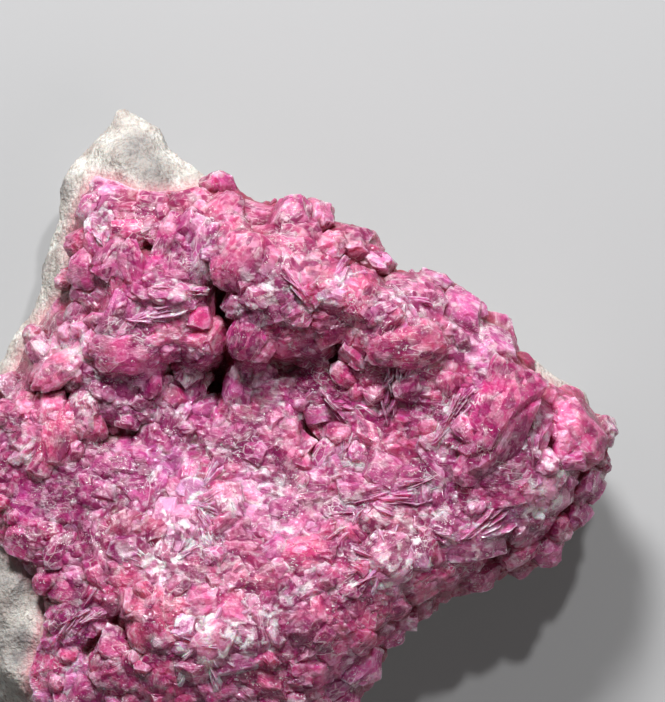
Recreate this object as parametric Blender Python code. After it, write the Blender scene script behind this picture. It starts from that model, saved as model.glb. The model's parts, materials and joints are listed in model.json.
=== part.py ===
"""Cobaltoan calcite: a druse of crystals grown together on its carbonate matrix.

The specimen lies on the flat back of the matrix, crystals up. Plan places are millimetres from the lower left
corner of the view that looks straight down on it, heights are millimetres above the flat back, and the finished
pieces are in metres, centred on the specimen's box.
"""

import math
import random

import bmesh
import bpy
from mathutils import Matrix, Vector, noise
from mathutils.geometry import delaunay_2d_cdt

MM = 0.001

# Driving sizes, in millimetres
CRUST_THICKNESS = 2.4      # bed that the crystals grow from, over the rock
CRUST_LIP = 0.5            # step at the crust's visible edge
CRUST_FEATHER = 4.0        # width over which the crust thins out to its lip
SKIRT_DEPTH = 4.4          # how far the crust reaches down, inside the rock and round its side
CLEARANCE = 0.4            # room between the rock and the crust
THICKEST = 30.0            # more than the whole specimen's height
RIM_DROP = 4.4             # how far the face rolls off at the specimen's edge
RIM_WIDTH = 4.2            # width of that roll-off
LEVEL_REACH = 4.5          # how far one level mark is felt
ROOT_DEPTH = 1.4           # how deep a crystal is rooted in the bed
SLENDEREST = 1.15          # a crystal's most height as a share of its length
DEEP_HOLLOW = 3.0          # a hollow at least this deep is also sunk into the rock's facets
RIM_CRYSTAL = 4.0          # size of the crystals that hang over the specimen's edge
RIM_STEP = 4.6             # distance between them along the edge
RIM_SINK = 0.8             # how far below the bed's edge they sit
ROCK_SPACING = 2.4         # size of the facets on the bare rock
COVERED_SPACING = 7.0      # size of the facets where the druse hides the rock, and on its own bed
LEAN_SHARE = 0.75          # share of the bed's slope that a crystal leans by
MOST_LEAN = math.radians(42)
TILT_SPREAD = math.radians(9)
TURN_SPREAD = math.radians(6)
SEED = 13

CENTRE = Vector((28.5, 25.5))

# The rock's broken side from the top edge down: height and width as shares of the ring above
ROCK_RINGS = [(0.84, 1.0), (0.9, 0.972), (0.66, 0.99), (0.5, 0.958), (0.0, 0.965)]
RING_UNEVENNESS = 0.024    # share of its width by which a ring wanders

# Outline of the rock in plan: apex, then clockwise down the long right side and round the back
MATRIX_OUTLINE = [
    (12.0, 59.9), (13.4, 59.0), (15.6, 57.9), (16.7, 55.7), (18.0, 54.5), (19.6, 53.6), (21.8, 52.2),
    (23.8, 50.2), (26.6, 48.0), (30.5, 48.2), (33.0, 46.2), (36.8, 43.4), (39.6, 41.8), (42.6, 41.0),
    (45.0, 39.2), (47.4, 38.0), (49.8, 36.6), (52.3, 35.2), (54.1, 33.8), (57.2, 31.9), (59.1, 30.7),
    (59.6, 28.4), (60.0, 26.3), (59.4, 24.0), (58.4, 21.6), (56.8, 18.9), (55.0, 16.2), (52.8, 14.4),
    (50.0, 14.0), (47.5, 12.2), (44.2, 10.8), (41.2, 8.8), (38.4, 6.6), (36.8, 3.8), (35.4, 1.2),
    (33.0, -1.2), (29.0, -3.4), (23.0, -4.9), (15.0, -5.6), (7.0, -5.2), (1.0, -3.2), (-3.0, 1.6),
    (-5.0, 7.8), (-6.5, 13.8), (-6.2, 20.0), (-4.8, 26.0), (-2.4, 31.2), (0.0, 34.8), (1.2, 37.2),
    (3.0, 39.7), (4.0, 41.9), (3.7, 43.2), (4.4, 45.4), (5.3, 48.2), (5.6, 51.9), (6.7, 54.1),
    (8.5, 55.9), (10.0, 57.6), (11.3, 59.7),
]

# Outline of the druse: inside the rock's where rock shows, and just outside it where crystals make the edge
CRUST_OUTLINE = [
    (22.8, 52.2), (20.2, 51.6), (17.0, 51.1), (14.0, 51.0), (11.5, 52.2), (9.4, 52.6), (8.0, 50.8),
    (7.2, 48.8), (6.6, 46.4), (6.6, 44.0), (6.9, 41.8), (5.2, 40.0), (3.6, 38.0), (2.4, 36.0),
    (1.2, 33.4), (-0.6, 30.6), (-2.4, 27.0), (-3.6, 22.6), (-3.4, 18.8), (-1.4, 16.6), (1.0, 14.8),
    (3.2, 12.4), (4.4, 10.0), (3.8, 6.2), (2.6, 2.4), (3.2, -1.0), (6.4, -3.6), (13.0, -5.0),
    (20.0, -5.4), (24.6, -5.2), (30.2, -3.7), (34.6, -1.0), (37.0, 1.8), (38.2, 4.4), (39.8, 6.2),
    (42.4, 8.0), (44.9, 10.0), (48.2, 11.0), (50.6, 12.9), (53.8, 13.2), (56.2, 15.4), (58.0, 18.5),
    (59.5, 21.2), (60.7, 24.1), (61.2, 26.2), (60.2, 28.6), (58.0, 29.9), (55.6, 31.2), (53.4, 32.8),
    (51.8, 34.4), (50.9, 36.8), (48.4, 39.1), (45.9, 40.4), (43.4, 42.4), (40.0, 43.1), (37.6, 44.7),
    (33.6, 47.3), (31.0, 49.6), (28.8, 49.8), (26.4, 49.4), (24.4, 51.2),
]

# Levels of the face between the crystals: plan place and height
LEVEL_MARKS = [
    (12.0, 58.6, 11.0), (13.0, 56.0, 14.5), (9.5, 53.0, 14.5), (18.0, 53.0, 15.5), (6.5, 50.0, 13.5),
    (5.5, 44.0, 13.5), (3.0, 37.0, 13.0), (13.0, 47.2, 17.5), (19.0, 47.2, 18.5), (9.0, 43.2, 16.5),
    (17.0, 41.2, 19.0), (6.2, 40.5, 14.5), (13.0, 36.0, 17.8), (17.0, 34.4, 15.5), (24.2, 44.0, 20.5),
    (29.5, 48.5, 18.5), (30.0, 42.2, 22.2), (36.0, 41.2, 22.2), (40.2, 37.0, 21.4), (34.0, 45.6, 19.0),
    (43.5, 39.4, 19.5), (25.0, 37.2, 20.0), (30.0, 36.6, 19.2), (47.0, 34.4, 18.6), (50.0, 28.2, 19.8),
    (56.0, 27.4, 17.6), (60.5, 26.6, 15.0), (54.0, 20.6, 17.4), (48.2, 16.4, 18.2), (54.4, 15.0, 14.5),
    (44.0, 11.8, 16.6), (30.0, 30.8, 14.6), (25.0, 31.6, 13.4), (21.2, 30.6, 10.6), (27.0, 25.8, 15.2),
    (35.0, 26.4, 16.8), (31.0, 21.6, 16.0), (42.0, 30.0, 17.8), (5.0, 32.0, 13.6), (10.0, 28.4, 14.0),
    (6.0, 25.6, 15.4), (12.0, 22.8, 14.6), (3.0, 23.0, 14.4), (16.4, 24.2, 14.4), (-2.0, 24.0, 13.2),
    (3.4, 18.4, 14.6), (6.0, 13.0, 15.4), (10.0, 16.4, 17.0), (15.0, 11.2, 20.2), (20.0, 16.8, 18.6),
    (23.0, 6.4, 21.2), (31.0, 8.2, 20.6), (30.0, 14.2, 20.2), (39.0, 14.2, 20.0), (38.2, 21.4, 18.6),
    (24.4, 19.0, 17.4), (36.0, 4.0, 16.2), (2.0, 6.2, 14.4), (-3.4, 10.4, 12.0), (-5.0, 15.0, 12.0),
    (9.0, 4.0, 17.4), (14.0, 0.0, 17.6), (22.0, -1.4, 18.0), (30.0, -1.0, 16.4), (4.0, -1.6, 14.0),
]

# Hollows between the crystals: route in plan, half width, depth
HOLLOWS = [
    ([(21.2, 42.2), (22.2, 40.2), (22.2, 37.2), (22.5, 34.7), (21.6, 31.6)], 0.95, 6.4),
    ([(20.4, 29.4), (21.8, 29.0)], 0.8, 2.6),
    ([(14.6, 45.2), (16.2, 45.4)], 0.9, 3.0),
    ([(6.8, 39.4), (9.0, 39.2)], 0.8, 2.4),
    ([(27.6, 33.6), (30.0, 33.4)], 0.8, 3.4),
    ([(34.4, 37.4), (34.0, 34.4)], 0.7, 3.6),
    ([(31.0, 28.4), (31.4, 24.8)], 0.7, 3.0),
    ([(10.2, 26.9), (14.0, 26.8)], 0.9, 2.6),
    ([(17.0, 34.4), (17.2, 33.0)], 0.9, 3.0),
    ([(4.0, 31.2), (6.6, 30.8)], 1.0, 4.0),
    ([(6.0, 16.8), (7.4, 16.7)], 0.7, 2.6),
    ([(11.2, 8.6), (13.2, 6.2)], 1.0, 4.2),
    ([(8.8, 5.0), (10.6, 6.2)], 0.7, 3.0),
    ([(50.0, 15.4), (49.6, 13.8)], 0.8, 3.4),
    ([(54.8, 27.2), (54.6, 25.0)], 0.7, 3.0),
    ([(36.2, 16.8), (37.2, 16.6)], 0.7, 2.6),
    ([(46.6, 24.6), (50.2, 25.2), (52.6, 27.8)], 0.6, 2.4),
]

# Lumps that stand on the bare rock: plan place, width, height
ROCK_LUMPS = [
    (13.2, 55.2, 4.2, 1.3), (15.4, 53.4, 2.6, 0.9), (10.2, 55.4, 2.6, 0.8), (8.2, 52.8, 2.4, 0.8),
    (6.6, 47.6, 1.8, 0.7), (5.4, 43.6, 1.8, 0.8), (5.0, 41.4, 1.6, 0.6), (2.6, 36.8, 1.8, 0.7),
    (52.9, 33.9, 1.4, 1.0), (54.6, 32.9, 1.3, 1.1), (56.3, 31.7, 1.4, 0.9), (58.1, 30.8, 1.2, 1.0),
    (1.6, 11.8, 2.6, 0.9), (-1.4, 9.2, 3.2, 1.1), (1.8, 6.6, 2.2, 0.8), (-3.2, 13.4, 2.6, 0.9),
    (0.2, 2.4, 2.8, 1.0),
]

# Crystal forms, each a cube of half size 1 cut by planes: tilt from the growth axis, bearing, distance
BLOCK = [(36, 90, 0.78), (36, 210, 0.78), (36, 330, 0.78), (80, 45, 1.12), (80, 225, 1.12)]
LENS = [
    (20, 90, 0.86), (20, 270, 0.86), (50, 40, 0.92), (50, 140, 0.92), (50, 220, 0.92), (50, 320, 0.92),
]
BLADE = [(50, 90, 0.6), (50, 270, 0.6), (62, 0, 0.8), (62, 180, 0.8)]
KNOB = [
    (8, 20, 0.96), (46, 60, 0.94), (46, 132, 0.94), (46, 204, 0.94), (46, 276, 0.94), (46, 348, 0.94),
]
PLATE = [
    (10, 100, 0.84), (64, 0, 0.92), (64, 60, 0.88), (64, 120, 0.88), (64, 180, 0.92), (64, 240, 0.88),
    (64, 300, 0.88),
]

# Each crystal: plan place, height of its top, length, width, turn of its length in degrees, form
UPPER_LEFT_MOUND = [
    (21.7, 52.0, 16.4, 2.8, 2.4, 20, BLOCK), (22.4, 49.0, 20.4, 4.4, 4.0, 60, KNOB),
    (18.8, 49.6, 19.6, 4.4, 3.0, 8, BLOCK), (12.2, 49.0, 18.2, 3.4, 2.0, 4, BLADE),
    (9.8, 46.9, 18.6, 3.8, 2.2, -45, BLADE), (13.0, 46.9, 20.4, 3.2, 2.2, 15, BLOCK),
    (11.2, 44.9, 20.8, 4.4, 2.4, 60, BLADE), (13.2, 43.8, 21.6, 4.4, 2.4, 88, LENS),
    (8.6, 43.2, 18.8, 4.2, 3.6, 20, KNOB), (11.4, 41.6, 20.2, 4.4, 2.2, 96, BLADE),
    (17.4, 46.4, 21.2, 3.8, 2.8, 62, BLOCK), (17.7, 43.6, 22.2, 4.0, 2.8, 80, BLOCK),
    (19.9, 45.0, 22.6, 5.6, 2.4, 86, BLADE), (17.2, 41.0, 22.2, 4.8, 2.8, -18, PLATE),
    (14.6, 41.2, 21.6, 3.6, 2.8, -12, PLATE), (13.4, 38.7, 20.8, 4.2, 2.6, 17, PLATE),
    (16.8, 39.2, 21.2, 4.0, 2.4, 15, PLATE), (17.6, 37.4, 20.4, 5.2, 2.8, 8, BLOCK),
    (20.3, 39.6, 20.2, 4.4, 1.8, 90, BLADE),
]
UPPER_RIDGE = [
    (24.3, 44.0, 25.2, 5.8, 5.4, 70, KNOB), (27.1, 44.2, 24.8, 3.4, 3.0, 80, BLOCK),
    (26.0, 48.2, 19.8, 3.8, 2.8, -5, BLOCK), (29.0, 48.4, 21.4, 4.4, 3.6, 80, KNOB),
    (31.6, 48.2, 20.4, 3.4, 2.8, 76, BLOCK), (30.2, 45.2, 23.4, 3.8, 3.2, 20, KNOB),
    (35.2, 45.4, 20.8, 4.8, 3.4, -28, BLOCK), (37.6, 43.6, 20.6, 3.2, 2.6, -20, PLATE),
    (29.2, 42.6, 25.2, 3.6, 2.0, -48, BLADE), (31.8, 42.0, 25.6, 4.4, 2.6, 50, BLADE),
    (33.7, 41.4, 26.2, 4.2, 2.2, 48, BLADE), (36.2, 40.8, 25.8, 5.0, 4.4, 60, BLOCK),
    (40.8, 40.4, 23.2, 6.4, 5.0, -10, BLOCK), (40.4, 35.9, 24.8, 7.4, 4.6, -4, KNOB),
    (44.6, 37.4, 22.0, 3.8, 2.8, 86, BLOCK), (27.0, 40.2, 24.6, 4.4, 3.6, 10, BLOCK),
    (24.8, 36.6, 23.0, 4.4, 3.4, 80, KNOB), (28.4, 36.6, 22.2, 4.8, 3.6, 6, BLOCK),
]
RIGHT_SLOPE = [
    (46.2, 38.6, 20.8, 4.8, 4.0, -30, BLOCK), (49.2, 34.8, 21.4, 6.2, 4.8, -22, BLOCK),
    (49.8, 28.2, 24.4, 10.0, 4.8, 54, BLADE), (49.6, 22.7, 22.2, 7.8, 5.2, 20, BLOCK),
    (53.4, 26.6, 21.2, 4.4, 2.2, 80, BLADE), (45.0, 28.9, 22.2, 6.6, 2.6, 57, BLADE),
    (57.6, 26.8, 19.8, 6.6, 5.8, -30, KNOB), (41.6, 31.2, 21.2, 6.8, 2.6, 80, BLADE),
    (43.6, 32.2, 21.8, 5.4, 2.2, 72, BLADE), (46.2, 32.2, 21.4, 3.6, 2.8, 60, BLOCK),
    (54.8, 20.8, 20.4, 7.0, 4.6, 68, BLOCK), (58.6, 21.6, 16.4, 3.8, 2.8, 60, BLOCK),
    (52.0, 15.0, 16.8, 4.0, 3.2, 10, KNOB), (54.9, 15.2, 15.4, 3.6, 3.0, 40, KNOB),
    (47.3, 16.9, 21.2, 6.0, 4.2, 20, BLOCK), (44.8, 21.6, 21.2, 5.2, 2.2, 85, BLADE),
    (50.6, 18.9, 20.4, 3.8, 2.6, 0, BLOCK), (44.6, 12.8, 19.2, 4.8, 3.6, 15, BLOCK),
    (52.4, 32.2, 19.8, 3.2, 2.6, -20, BLOCK), (55.2, 30.4, 18.6, 3.4, 2.6, -30, BLOCK),
]
CENTRAL_POCKET = [
    (19.0, 30.6, 16.0, 3.6, 2.2, 88, BLADE), (25.6, 32.6, 18.4, 4.4, 3.6, 80, KNOB),
    (24.4, 29.7, 17.0, 4.8, 2.4, 5, BLOCK), (34.7, 30.0, 20.0, 7.8, 2.8, -40, BLADE),
    (24.1, 26.3, 17.9, 4.4, 3.2, 10, BLOCK), (28.1, 25.2, 19.0, 5.0, 4.2, 40, BLOCK),
    (32.8, 24.4, 18.9, 5.2, 2.8, 75, LENS), (34.4, 21.6, 19.2, 3.8, 2.8, 60, BLOCK),
    (31.0, 19.4, 19.8, 5.0, 3.8, -10, BLOCK), (39.2, 26.0, 20.4, 5.4, 3.8, 15, BLOCK),
    (29.8, 31.4, 17.8, 3.6, 2.8, 20, BLOCK), (37.4, 33.0, 21.4, 3.8, 2.8, -30, BLOCK),
    (25.2, 22.2, 18.4, 3.4, 2.8, -10, BLOCK),
]
LEFT_MIDDLE = [
    (12.6, 35.4, 21.2, 6.4, 4.8, 0, KNOB), (12.2, 31.6, 18.0, 4.2, 3.0, 10, BLOCK),
    (8.4, 35.6, 17.6, 3.2, 2.6, 40, BLOCK), (5.8, 33.1, 18.2, 5.4, 2.4, 29, LENS),
    (6.0, 27.0, 18.4, 5.8, 3.2, 76, BLOCK), (3.0, 25.4, 17.2, 4.6, 2.4, 60, BLADE),
    (1.2, 28.6, 16.2, 3.6, 2.8, 0, BLOCK), (16.8, 27.6, 17.4, 3.2, 2.4, 70, LENS),
    (16.0, 31.0, 17.2, 3.4, 2.8, 80, BLOCK), (12.0, 23.0, 18.2, 6.2, 4.4, -10, LENS),
    (16.6, 23.6, 17.4, 3.6, 2.8, -30, LENS), (14.8, 20.4, 18.8, 4.0, 2.0, 75, BLADE),
    (8.2, 21.4, 18.2, 4.0, 3.4, 10, KNOB), (3.4, 19.9, 17.2, 4.6, 2.8, -5, LENS),
    (0.2, 22.6, 15.8, 3.6, 3.0, 40, BLOCK), (-1.6, 26.0, 14.6, 3.8, 3.0, 60, BLOCK),
    (-2.0, 21.4, 14.8, 3.8, 3.0, 80, BLOCK), (-0.8, 18.4, 15.0, 3.2, 2.8, 20, KNOB),
]
LOWER_LEFT = [
    (3.2, 16.2, 17.6, 5.0, 3.4, -15, BLOCK), (7.2, 14.6, 18.2, 3.6, 2.2, -10, LENS),
    (9.8, 15.4, 19.8, 6.2, 2.6, -68, BLADE), (13.4, 15.6, 20.4, 3.6, 3.0, 20, BLOCK),
    (5.0, 12.2, 17.4, 3.6, 2.8, 10, KNOB), (6.6, 9.6, 18.2, 5.2, 2.2, 38, BLADE),
    (8.4, 8.0, 18.8, 5.2, 2.2, 36, BLADE), (6.2, 6.6, 17.4, 4.4, 2.0, 40, BLADE),
    (9.2, 11.0, 19.2, 3.4, 2.4, 60, BLOCK), (5.2, 3.4, 16.4, 3.6, 2.6, 30, BLOCK),
    (19.6, 19.0, 20.4, 4.4, 3.2, 30, PLATE), (21.8, 20.4, 19.6, 3.8, 2.0, 45, BLADE),
    (17.6, 16.8, 20.6, 3.6, 2.8, -60, PLATE), (20.8, 16.0, 20.8, 3.8, 2.6, -20, BLOCK),
    (16.4, 13.4, 21.4, 4.4, 3.6, 10, KNOB), (20.6, 13.0, 21.6, 4.2, 2.8, -12, BLOCK),
]
LOWER_FIELD = [
    (15.9, 8.6, 23.4, 6.8, 5.4, 80, KNOB), (21.2, 10.2, 23.2, 5.6, 3.0, -10, BLOCK),
    (21.0, 6.2, 24.4, 5.6, 4.8, 20, KNOB), (26.2, 7.6, 23.8, 5.2, 2.8, 84, BLADE),
    (25.8, 11.8, 23.0, 5.0, 3.0, 0, BLOCK), (30.2, 11.2, 23.2, 4.0, 2.4, 5, PLATE),
    (30.4, 7.6, 23.4, 5.2, 4.0, 30, BLOCK), (34.8, 8.0, 22.4, 5.0, 4.2, 70, BLOCK),
    (31.4, 3.6, 21.4, 4.8, 3.6, 0, BLOCK), (26.0, 18.4, 20.2, 4.6, 3.0, 0, PLATE),
    (25.0, 15.2, 21.4, 4.8, 3.0, 5, BLOCK), (30.2, 14.6, 22.8, 5.2, 3.4, -10, BLOCK),
    (30.2, 17.2, 21.2, 3.8, 2.4, 10, PLATE), (38.4, 21.4, 21.4, 7.8, 3.4, 5, BLADE),
    (36.4, 18.8, 21.2, 3.6, 2.6, -20, KNOB), (40.6, 18.0, 21.4, 4.8, 3.6, 20, KNOB),
    (38.8, 14.2, 23.4, 5.0, 4.6, 30, KNOB), (34.2, 16.2, 22.0, 5.0, 2.8, 80, BLADE),
    (34.8, 12.2, 22.8, 4.2, 3.4, 20, BLOCK), (36.2, 3.6, 18.2, 4.2, 3.2, 60, BLOCK),
    (42.8, 14.8, 21.6, 4.0, 2.8, 70, BLOCK), (41.2, 11.6, 20.4, 4.4, 3.2, 20, BLOCK),
    (38.0, 9.6, 21.2, 4.2, 3.4, 40, BLOCK),
]
HIDDEN_FOOT = [
    (11.8, 3.0, 20.4, 4.8, 3.6, 30, BLOCK), (16.4, 2.8, 21.6, 5.0, 3.8, 70, KNOB),
    (21.6, 1.6, 21.4, 5.2, 3.8, 10, BLOCK), (26.6, 2.2, 21.2, 5.4, 3.8, -20, BLOCK),
    (30.6, -0.6, 18.8, 4.6, 3.6, 30, KNOB), (34.2, 0.4, 16.8, 3.6, 3.0, 50, BLOCK),
    (7.8, -0.4, 17.4, 4.2, 3.2, 20, BLOCK), (17.2, -2.6, 18.0, 4.6, 3.4, -20, BLOCK),
]
CRYSTALS = (UPPER_LEFT_MOUND + UPPER_RIDGE + RIGHT_SLOPE + CENTRAL_POCKET + LEFT_MIDDLE + LOWER_LEFT
            + LOWER_FIELD + HIDDEN_FOOT)

# Stretches of the crust's outline that make the specimen's edge, where crystals hang over the rock's side
OVERHANGS = [
    [(6.4, -3.6), (13.0, -5.0), (20.0, -5.4), (24.6, -5.2), (30.2, -3.7), (34.6, -1.0), (37.0, 1.8),
     (38.2, 4.4), (39.8, 6.2), (42.4, 8.0), (44.9, 10.0), (48.2, 11.0), (50.6, 12.9), (53.8, 13.2),
     (56.2, 15.4), (58.0, 18.5), (59.5, 21.2), (60.7, 24.1), (61.0, 26.2), (60.2, 28.6)],
    [(50.9, 36.8), (48.4, 39.1), (45.9, 40.4), (43.4, 42.4), (40.0, 43.1), (37.6, 44.7), (33.6, 47.3),
     (31.0, 49.6), (28.8, 49.8), (26.4, 49.4), (24.4, 51.2)],
]

# Base colours: linear RGB
ROCK_COLOUR = (0.62, 0.54, 0.50, 1.0)
CALCITE_COLOUR = (0.52, 0.10, 0.24, 1.0)


def smooth_step(value, low, high):
    """0 below low, 1 above high, and an even S between them."""
    share = min(max((value - low) / (high - low), 0.0), 1.0)
    return share * share * (3.0 - 2.0 * share)


def distance_to_route(x, y, route):
    """Shortest distance from a plan place to a line through the route's points."""
    place = Vector((x, y))
    nearest = math.inf
    for start, end in zip(route, route[1:]):
        along = Vector(end) - Vector(start)
        share = min(max((place - Vector(start)).dot(along) / along.length_squared, 0.0), 1.0)
        nearest = min(nearest, (place - Vector(start) - along * share).length)
    return nearest


def is_inside(x, y, outline):
    """Whether a plan place lies inside a closed outline."""
    inside = False
    for (ax, ay), (bx, by) in zip(outline, outline[1:] + outline[:1]):
        if (ay > y) != (by > y) and x < ax + (y - ay) * (bx - ax) / (by - ay):
            inside = not inside
    return inside


def depth_inside(x, y, outline):
    """Distance from the outline: above 0 inside it, below 0 outside."""
    distance = distance_to_route(x, y, outline + outline[:1])
    return distance if is_inside(x, y, outline) else -distance


def broad_level(x, y):
    """Height of the face between the crystals, before the hollows are taken out."""
    total = 0.0
    weights = 0.0
    for mark_x, mark_y, level in LEVEL_MARKS:
        distance_squared = (x - mark_x) ** 2 + (y - mark_y) ** 2
        weight = math.exp(-distance_squared / (2.0 * LEVEL_REACH ** 2)) + 1e-9
        total += weight * level
        weights += weight
    roll_off = 1.0 - smooth_step(depth_inside(x, y, MATRIX_OUTLINE), 0.0, RIM_WIDTH)
    return total / weights - RIM_DROP * roll_off


def face_level(x, y):
    """Height of the face between the crystals, with its hollows."""
    level = broad_level(x, y)
    for route, half_width, depth in HOLLOWS:
        distance = distance_to_route(x, y, route)
        level -= depth * math.exp(-(distance / half_width) ** 2 * 0.7)
    return level


def roughness(x, y, size, depth):
    """Broken unevenness of a surface, the same at the same place."""
    return depth * noise.noise(Vector((x / size, y / size, 3.7)))


def rock_level(x, y):
    """Top of the rock: bare outside the druse, and under its bed inside it."""
    cover = smooth_step(depth_inside(x, y, CRUST_OUTLINE), 0.0, CRUST_FEATHER)
    level = face_level(x, y) - CRUST_LIP - CRUST_THICKNESS * cover
    level += (1.0 - cover) * (roughness(x, y, 2.6, 0.9) + roughness(x, y, 1.1, 0.5))
    for lump_x, lump_y, width, height in ROCK_LUMPS:
        distance = math.hypot(x - lump_x, y - lump_y)
        level += height * (1.0 - smooth_step(distance, 0.2 * width, 0.6 * width))
    return level


def bed_level(x, y):
    """Top of the bed that the crystals grow from."""
    return face_level(x, y) + roughness(x, y, 1.8, 0.6)


def scattered_points(outline, spacing, seed):
    """Points that fill an outline evenly, each a little off a regular grid."""
    draw = random.Random(seed)
    inner = []
    row_height = spacing * math.sqrt(3.0) / 2.0
    low_x, high_x = min(x for x, _ in outline), max(x for x, _ in outline)
    low_y, high_y = min(y for _, y in outline), max(y for _, y in outline)
    for row in range(int((high_y - low_y) / row_height) + 1):
        for column in range(int((high_x - low_x) / spacing) + 2):
            x = low_x + (column + 0.5 * (row % 2)) * spacing + draw.uniform(-0.25, 0.25) * spacing
            y = low_y + row * row_height + draw.uniform(-0.25, 0.25) * spacing
            if depth_inside(x, y, outline) > 0.45 * spacing:
                inner.append(Vector((x, y)))
    return inner


def with_hollow_points(inner):
    """The points with the hollows' own points in place of those close by, so that a hollow keeps its depth."""
    for route, half_width, depth in HOLLOWS:
        if depth < DEEP_HOLLOW:
            continue
        for x, y in route:
            inner = [p for p in inner if (p - Vector((x, y))).length > 1.5 * half_width]
            inner.append(Vector((x, y)))
    return inner


def rock_points():
    """Plan points of the rock: close together where it is bare, and wide apart under the druse."""
    fine = scattered_points(MATRIX_OUTLINE, ROCK_SPACING, SEED)
    coarse = scattered_points(MATRIX_OUTLINE, COVERED_SPACING, SEED + 1)
    bare_reach = 0.3 * COVERED_SPACING
    inner = [p for p in fine if depth_inside(p.x, p.y, CRUST_OUTLINE) < bare_reach]
    inner += [p for p in coarse if depth_inside(p.x, p.y, CRUST_OUTLINE) >= 2.0 * bare_reach]
    return with_hollow_points(inner)


def uneven_sheet(outline, inner, level):
    """An open sheet over a plan outline, at the height that level gives for each place."""
    rim = [Vector(point) for point in outline]
    points, _, faces, _, _, _ = delaunay_2d_cdt(rim + inner, [], [list(range(len(rim)))], 1, 1e-6)
    body = bmesh.new()
    corners = [body.verts.new((p.x, p.y, level(p.x, p.y))) for p in points]
    for face in faces:
        body.faces.new([corners[index] for index in face])
    return body


def rock_body():
    """A closed body with an uneven top, whose broken sides go down in rings to a flat foot."""
    body = uneven_sheet(MATRIX_OUTLINE, rock_points(), rock_level)
    edge = [e for e in body.edges if e.is_boundary]
    for number, (height_share, width_share) in enumerate(ROCK_RINGS):
        made = bmesh.ops.extrude_edge_only(body, edges=edge)["geom"]
        edge = [e for e in made if isinstance(e, bmesh.types.BMEdge) and e.is_boundary]
        for corner in {v for e in edge for v in e.verts}:
            away = Vector((corner.co.x, corner.co.y)) - CENTRE
            bearing = math.atan2(away.y, away.x)
            wander = RING_UNEVENNESS * noise.noise(Vector((bearing * 9.0, number * 2.3, 1.3)))
            plan = CENTRE + away * min(width_share + wander, 1.0)
            corner.co = (plan.x, plan.y, corner.co.z * height_share)
    bmesh.ops.edgeloop_fill(body, edges=edge)
    bmesh.ops.recalc_face_normals(body, faces=body.faces[:])
    return body


def thicken_down(body, depth):
    """The sheet made a closed body by its copy, lower by the depth."""
    made = bmesh.ops.extrude_face_region(body, geom=body.faces[:])["geom"]
    lowered = [item for item in made if isinstance(item, bmesh.types.BMVert)]
    bmesh.ops.translate(body, vec=(0.0, 0.0, -depth), verts=lowered)
    bmesh.ops.recalc_face_normals(body, faces=body.faces[:])


def crystal_body(form, spread):
    """A closed crystal of half size 1: a cube cut by the form's planes, each a little off its ideal place."""
    body = bmesh.new()
    bmesh.ops.create_cube(body, size=2.0)
    for tilt, bearing, reach in form:
        tilt_angle = math.radians(tilt + spread.uniform(-5.0, 5.0))
        bearing_angle = math.radians(bearing + spread.uniform(-10.0, 10.0))
        normal = Vector((
            math.sin(tilt_angle) * math.cos(bearing_angle),
            math.sin(tilt_angle) * math.sin(bearing_angle),
            math.cos(tilt_angle),
        ))
        plane_place = normal * reach * spread.uniform(0.95, 1.03)
        geometry = body.verts[:] + body.edges[:] + body.faces[:]
        cut = bmesh.ops.bisect_plane(body, geom=geometry, plane_co=plane_place, plane_no=normal, clear_outer=True)
        rim = [item for item in cut["geom_cut"] if isinstance(item, bmesh.types.BMEdge)]
        if rim:
            bmesh.ops.edgeloop_fill(body, edges=rim)
    bmesh.ops.recalc_face_normals(body, faces=body.faces[:])
    return body


def grow_crystal(place, spread):
    """One crystal at its place on the bed, leaning with the bed's slope."""
    x, y, top, length, width, turn, form = place
    body = crystal_body(form, spread)
    step = 1.5
    slope = Vector((
        (broad_level(x + step, y) - broad_level(x - step, y)) / (2.0 * step),
        (broad_level(x, y + step) - broad_level(x, y - step)) / (2.0 * step),
    ))
    lean = min(LEAN_SHARE * math.atan(slope.length), MOST_LEAN)
    root = face_level(x, y) - ROOT_DEPTH
    top = min(top, root + SLENDEREST * length)
    height = max(top - root, 0.8 * width)
    shape = Matrix.Diagonal((length / 2.0, width / 2.0, height / 2.0, 1.0))
    turned = Matrix.Rotation(math.radians(turn) + spread.uniform(-TURN_SPREAD, TURN_SPREAD), 4, "Z")
    across_slope = Vector((slope.y, -slope.x, 0.0)) if slope.length > 1e-6 else Vector((1.0, 0.0, 0.0))
    leaned = Matrix.Rotation(lean, 4, across_slope)
    tilted = (Matrix.Rotation(spread.uniform(-TILT_SPREAD, TILT_SPREAD), 4, "X")
              @ Matrix.Rotation(spread.uniform(-TILT_SPREAD, TILT_SPREAD), 4, "Y"))
    bmesh.ops.transform(body, matrix=leaned @ turned @ tilted @ shape, verts=body.verts[:])
    highest = max(corner.co.z for corner in body.verts)
    bmesh.ops.translate(body, vec=(x, y, top - highest), verts=body.verts[:])
    return body


def stations(route, step):
    """Plan places a step apart along a route."""
    places = []
    left_over = step / 2.0
    for start, end in zip(route, route[1:]):
        along = Vector(end) - Vector(start)
        while left_over < along.length:
            places.append(Vector(start) + along.normalized() * left_over)
            left_over += step
        left_over -= along.length
    return places


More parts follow.
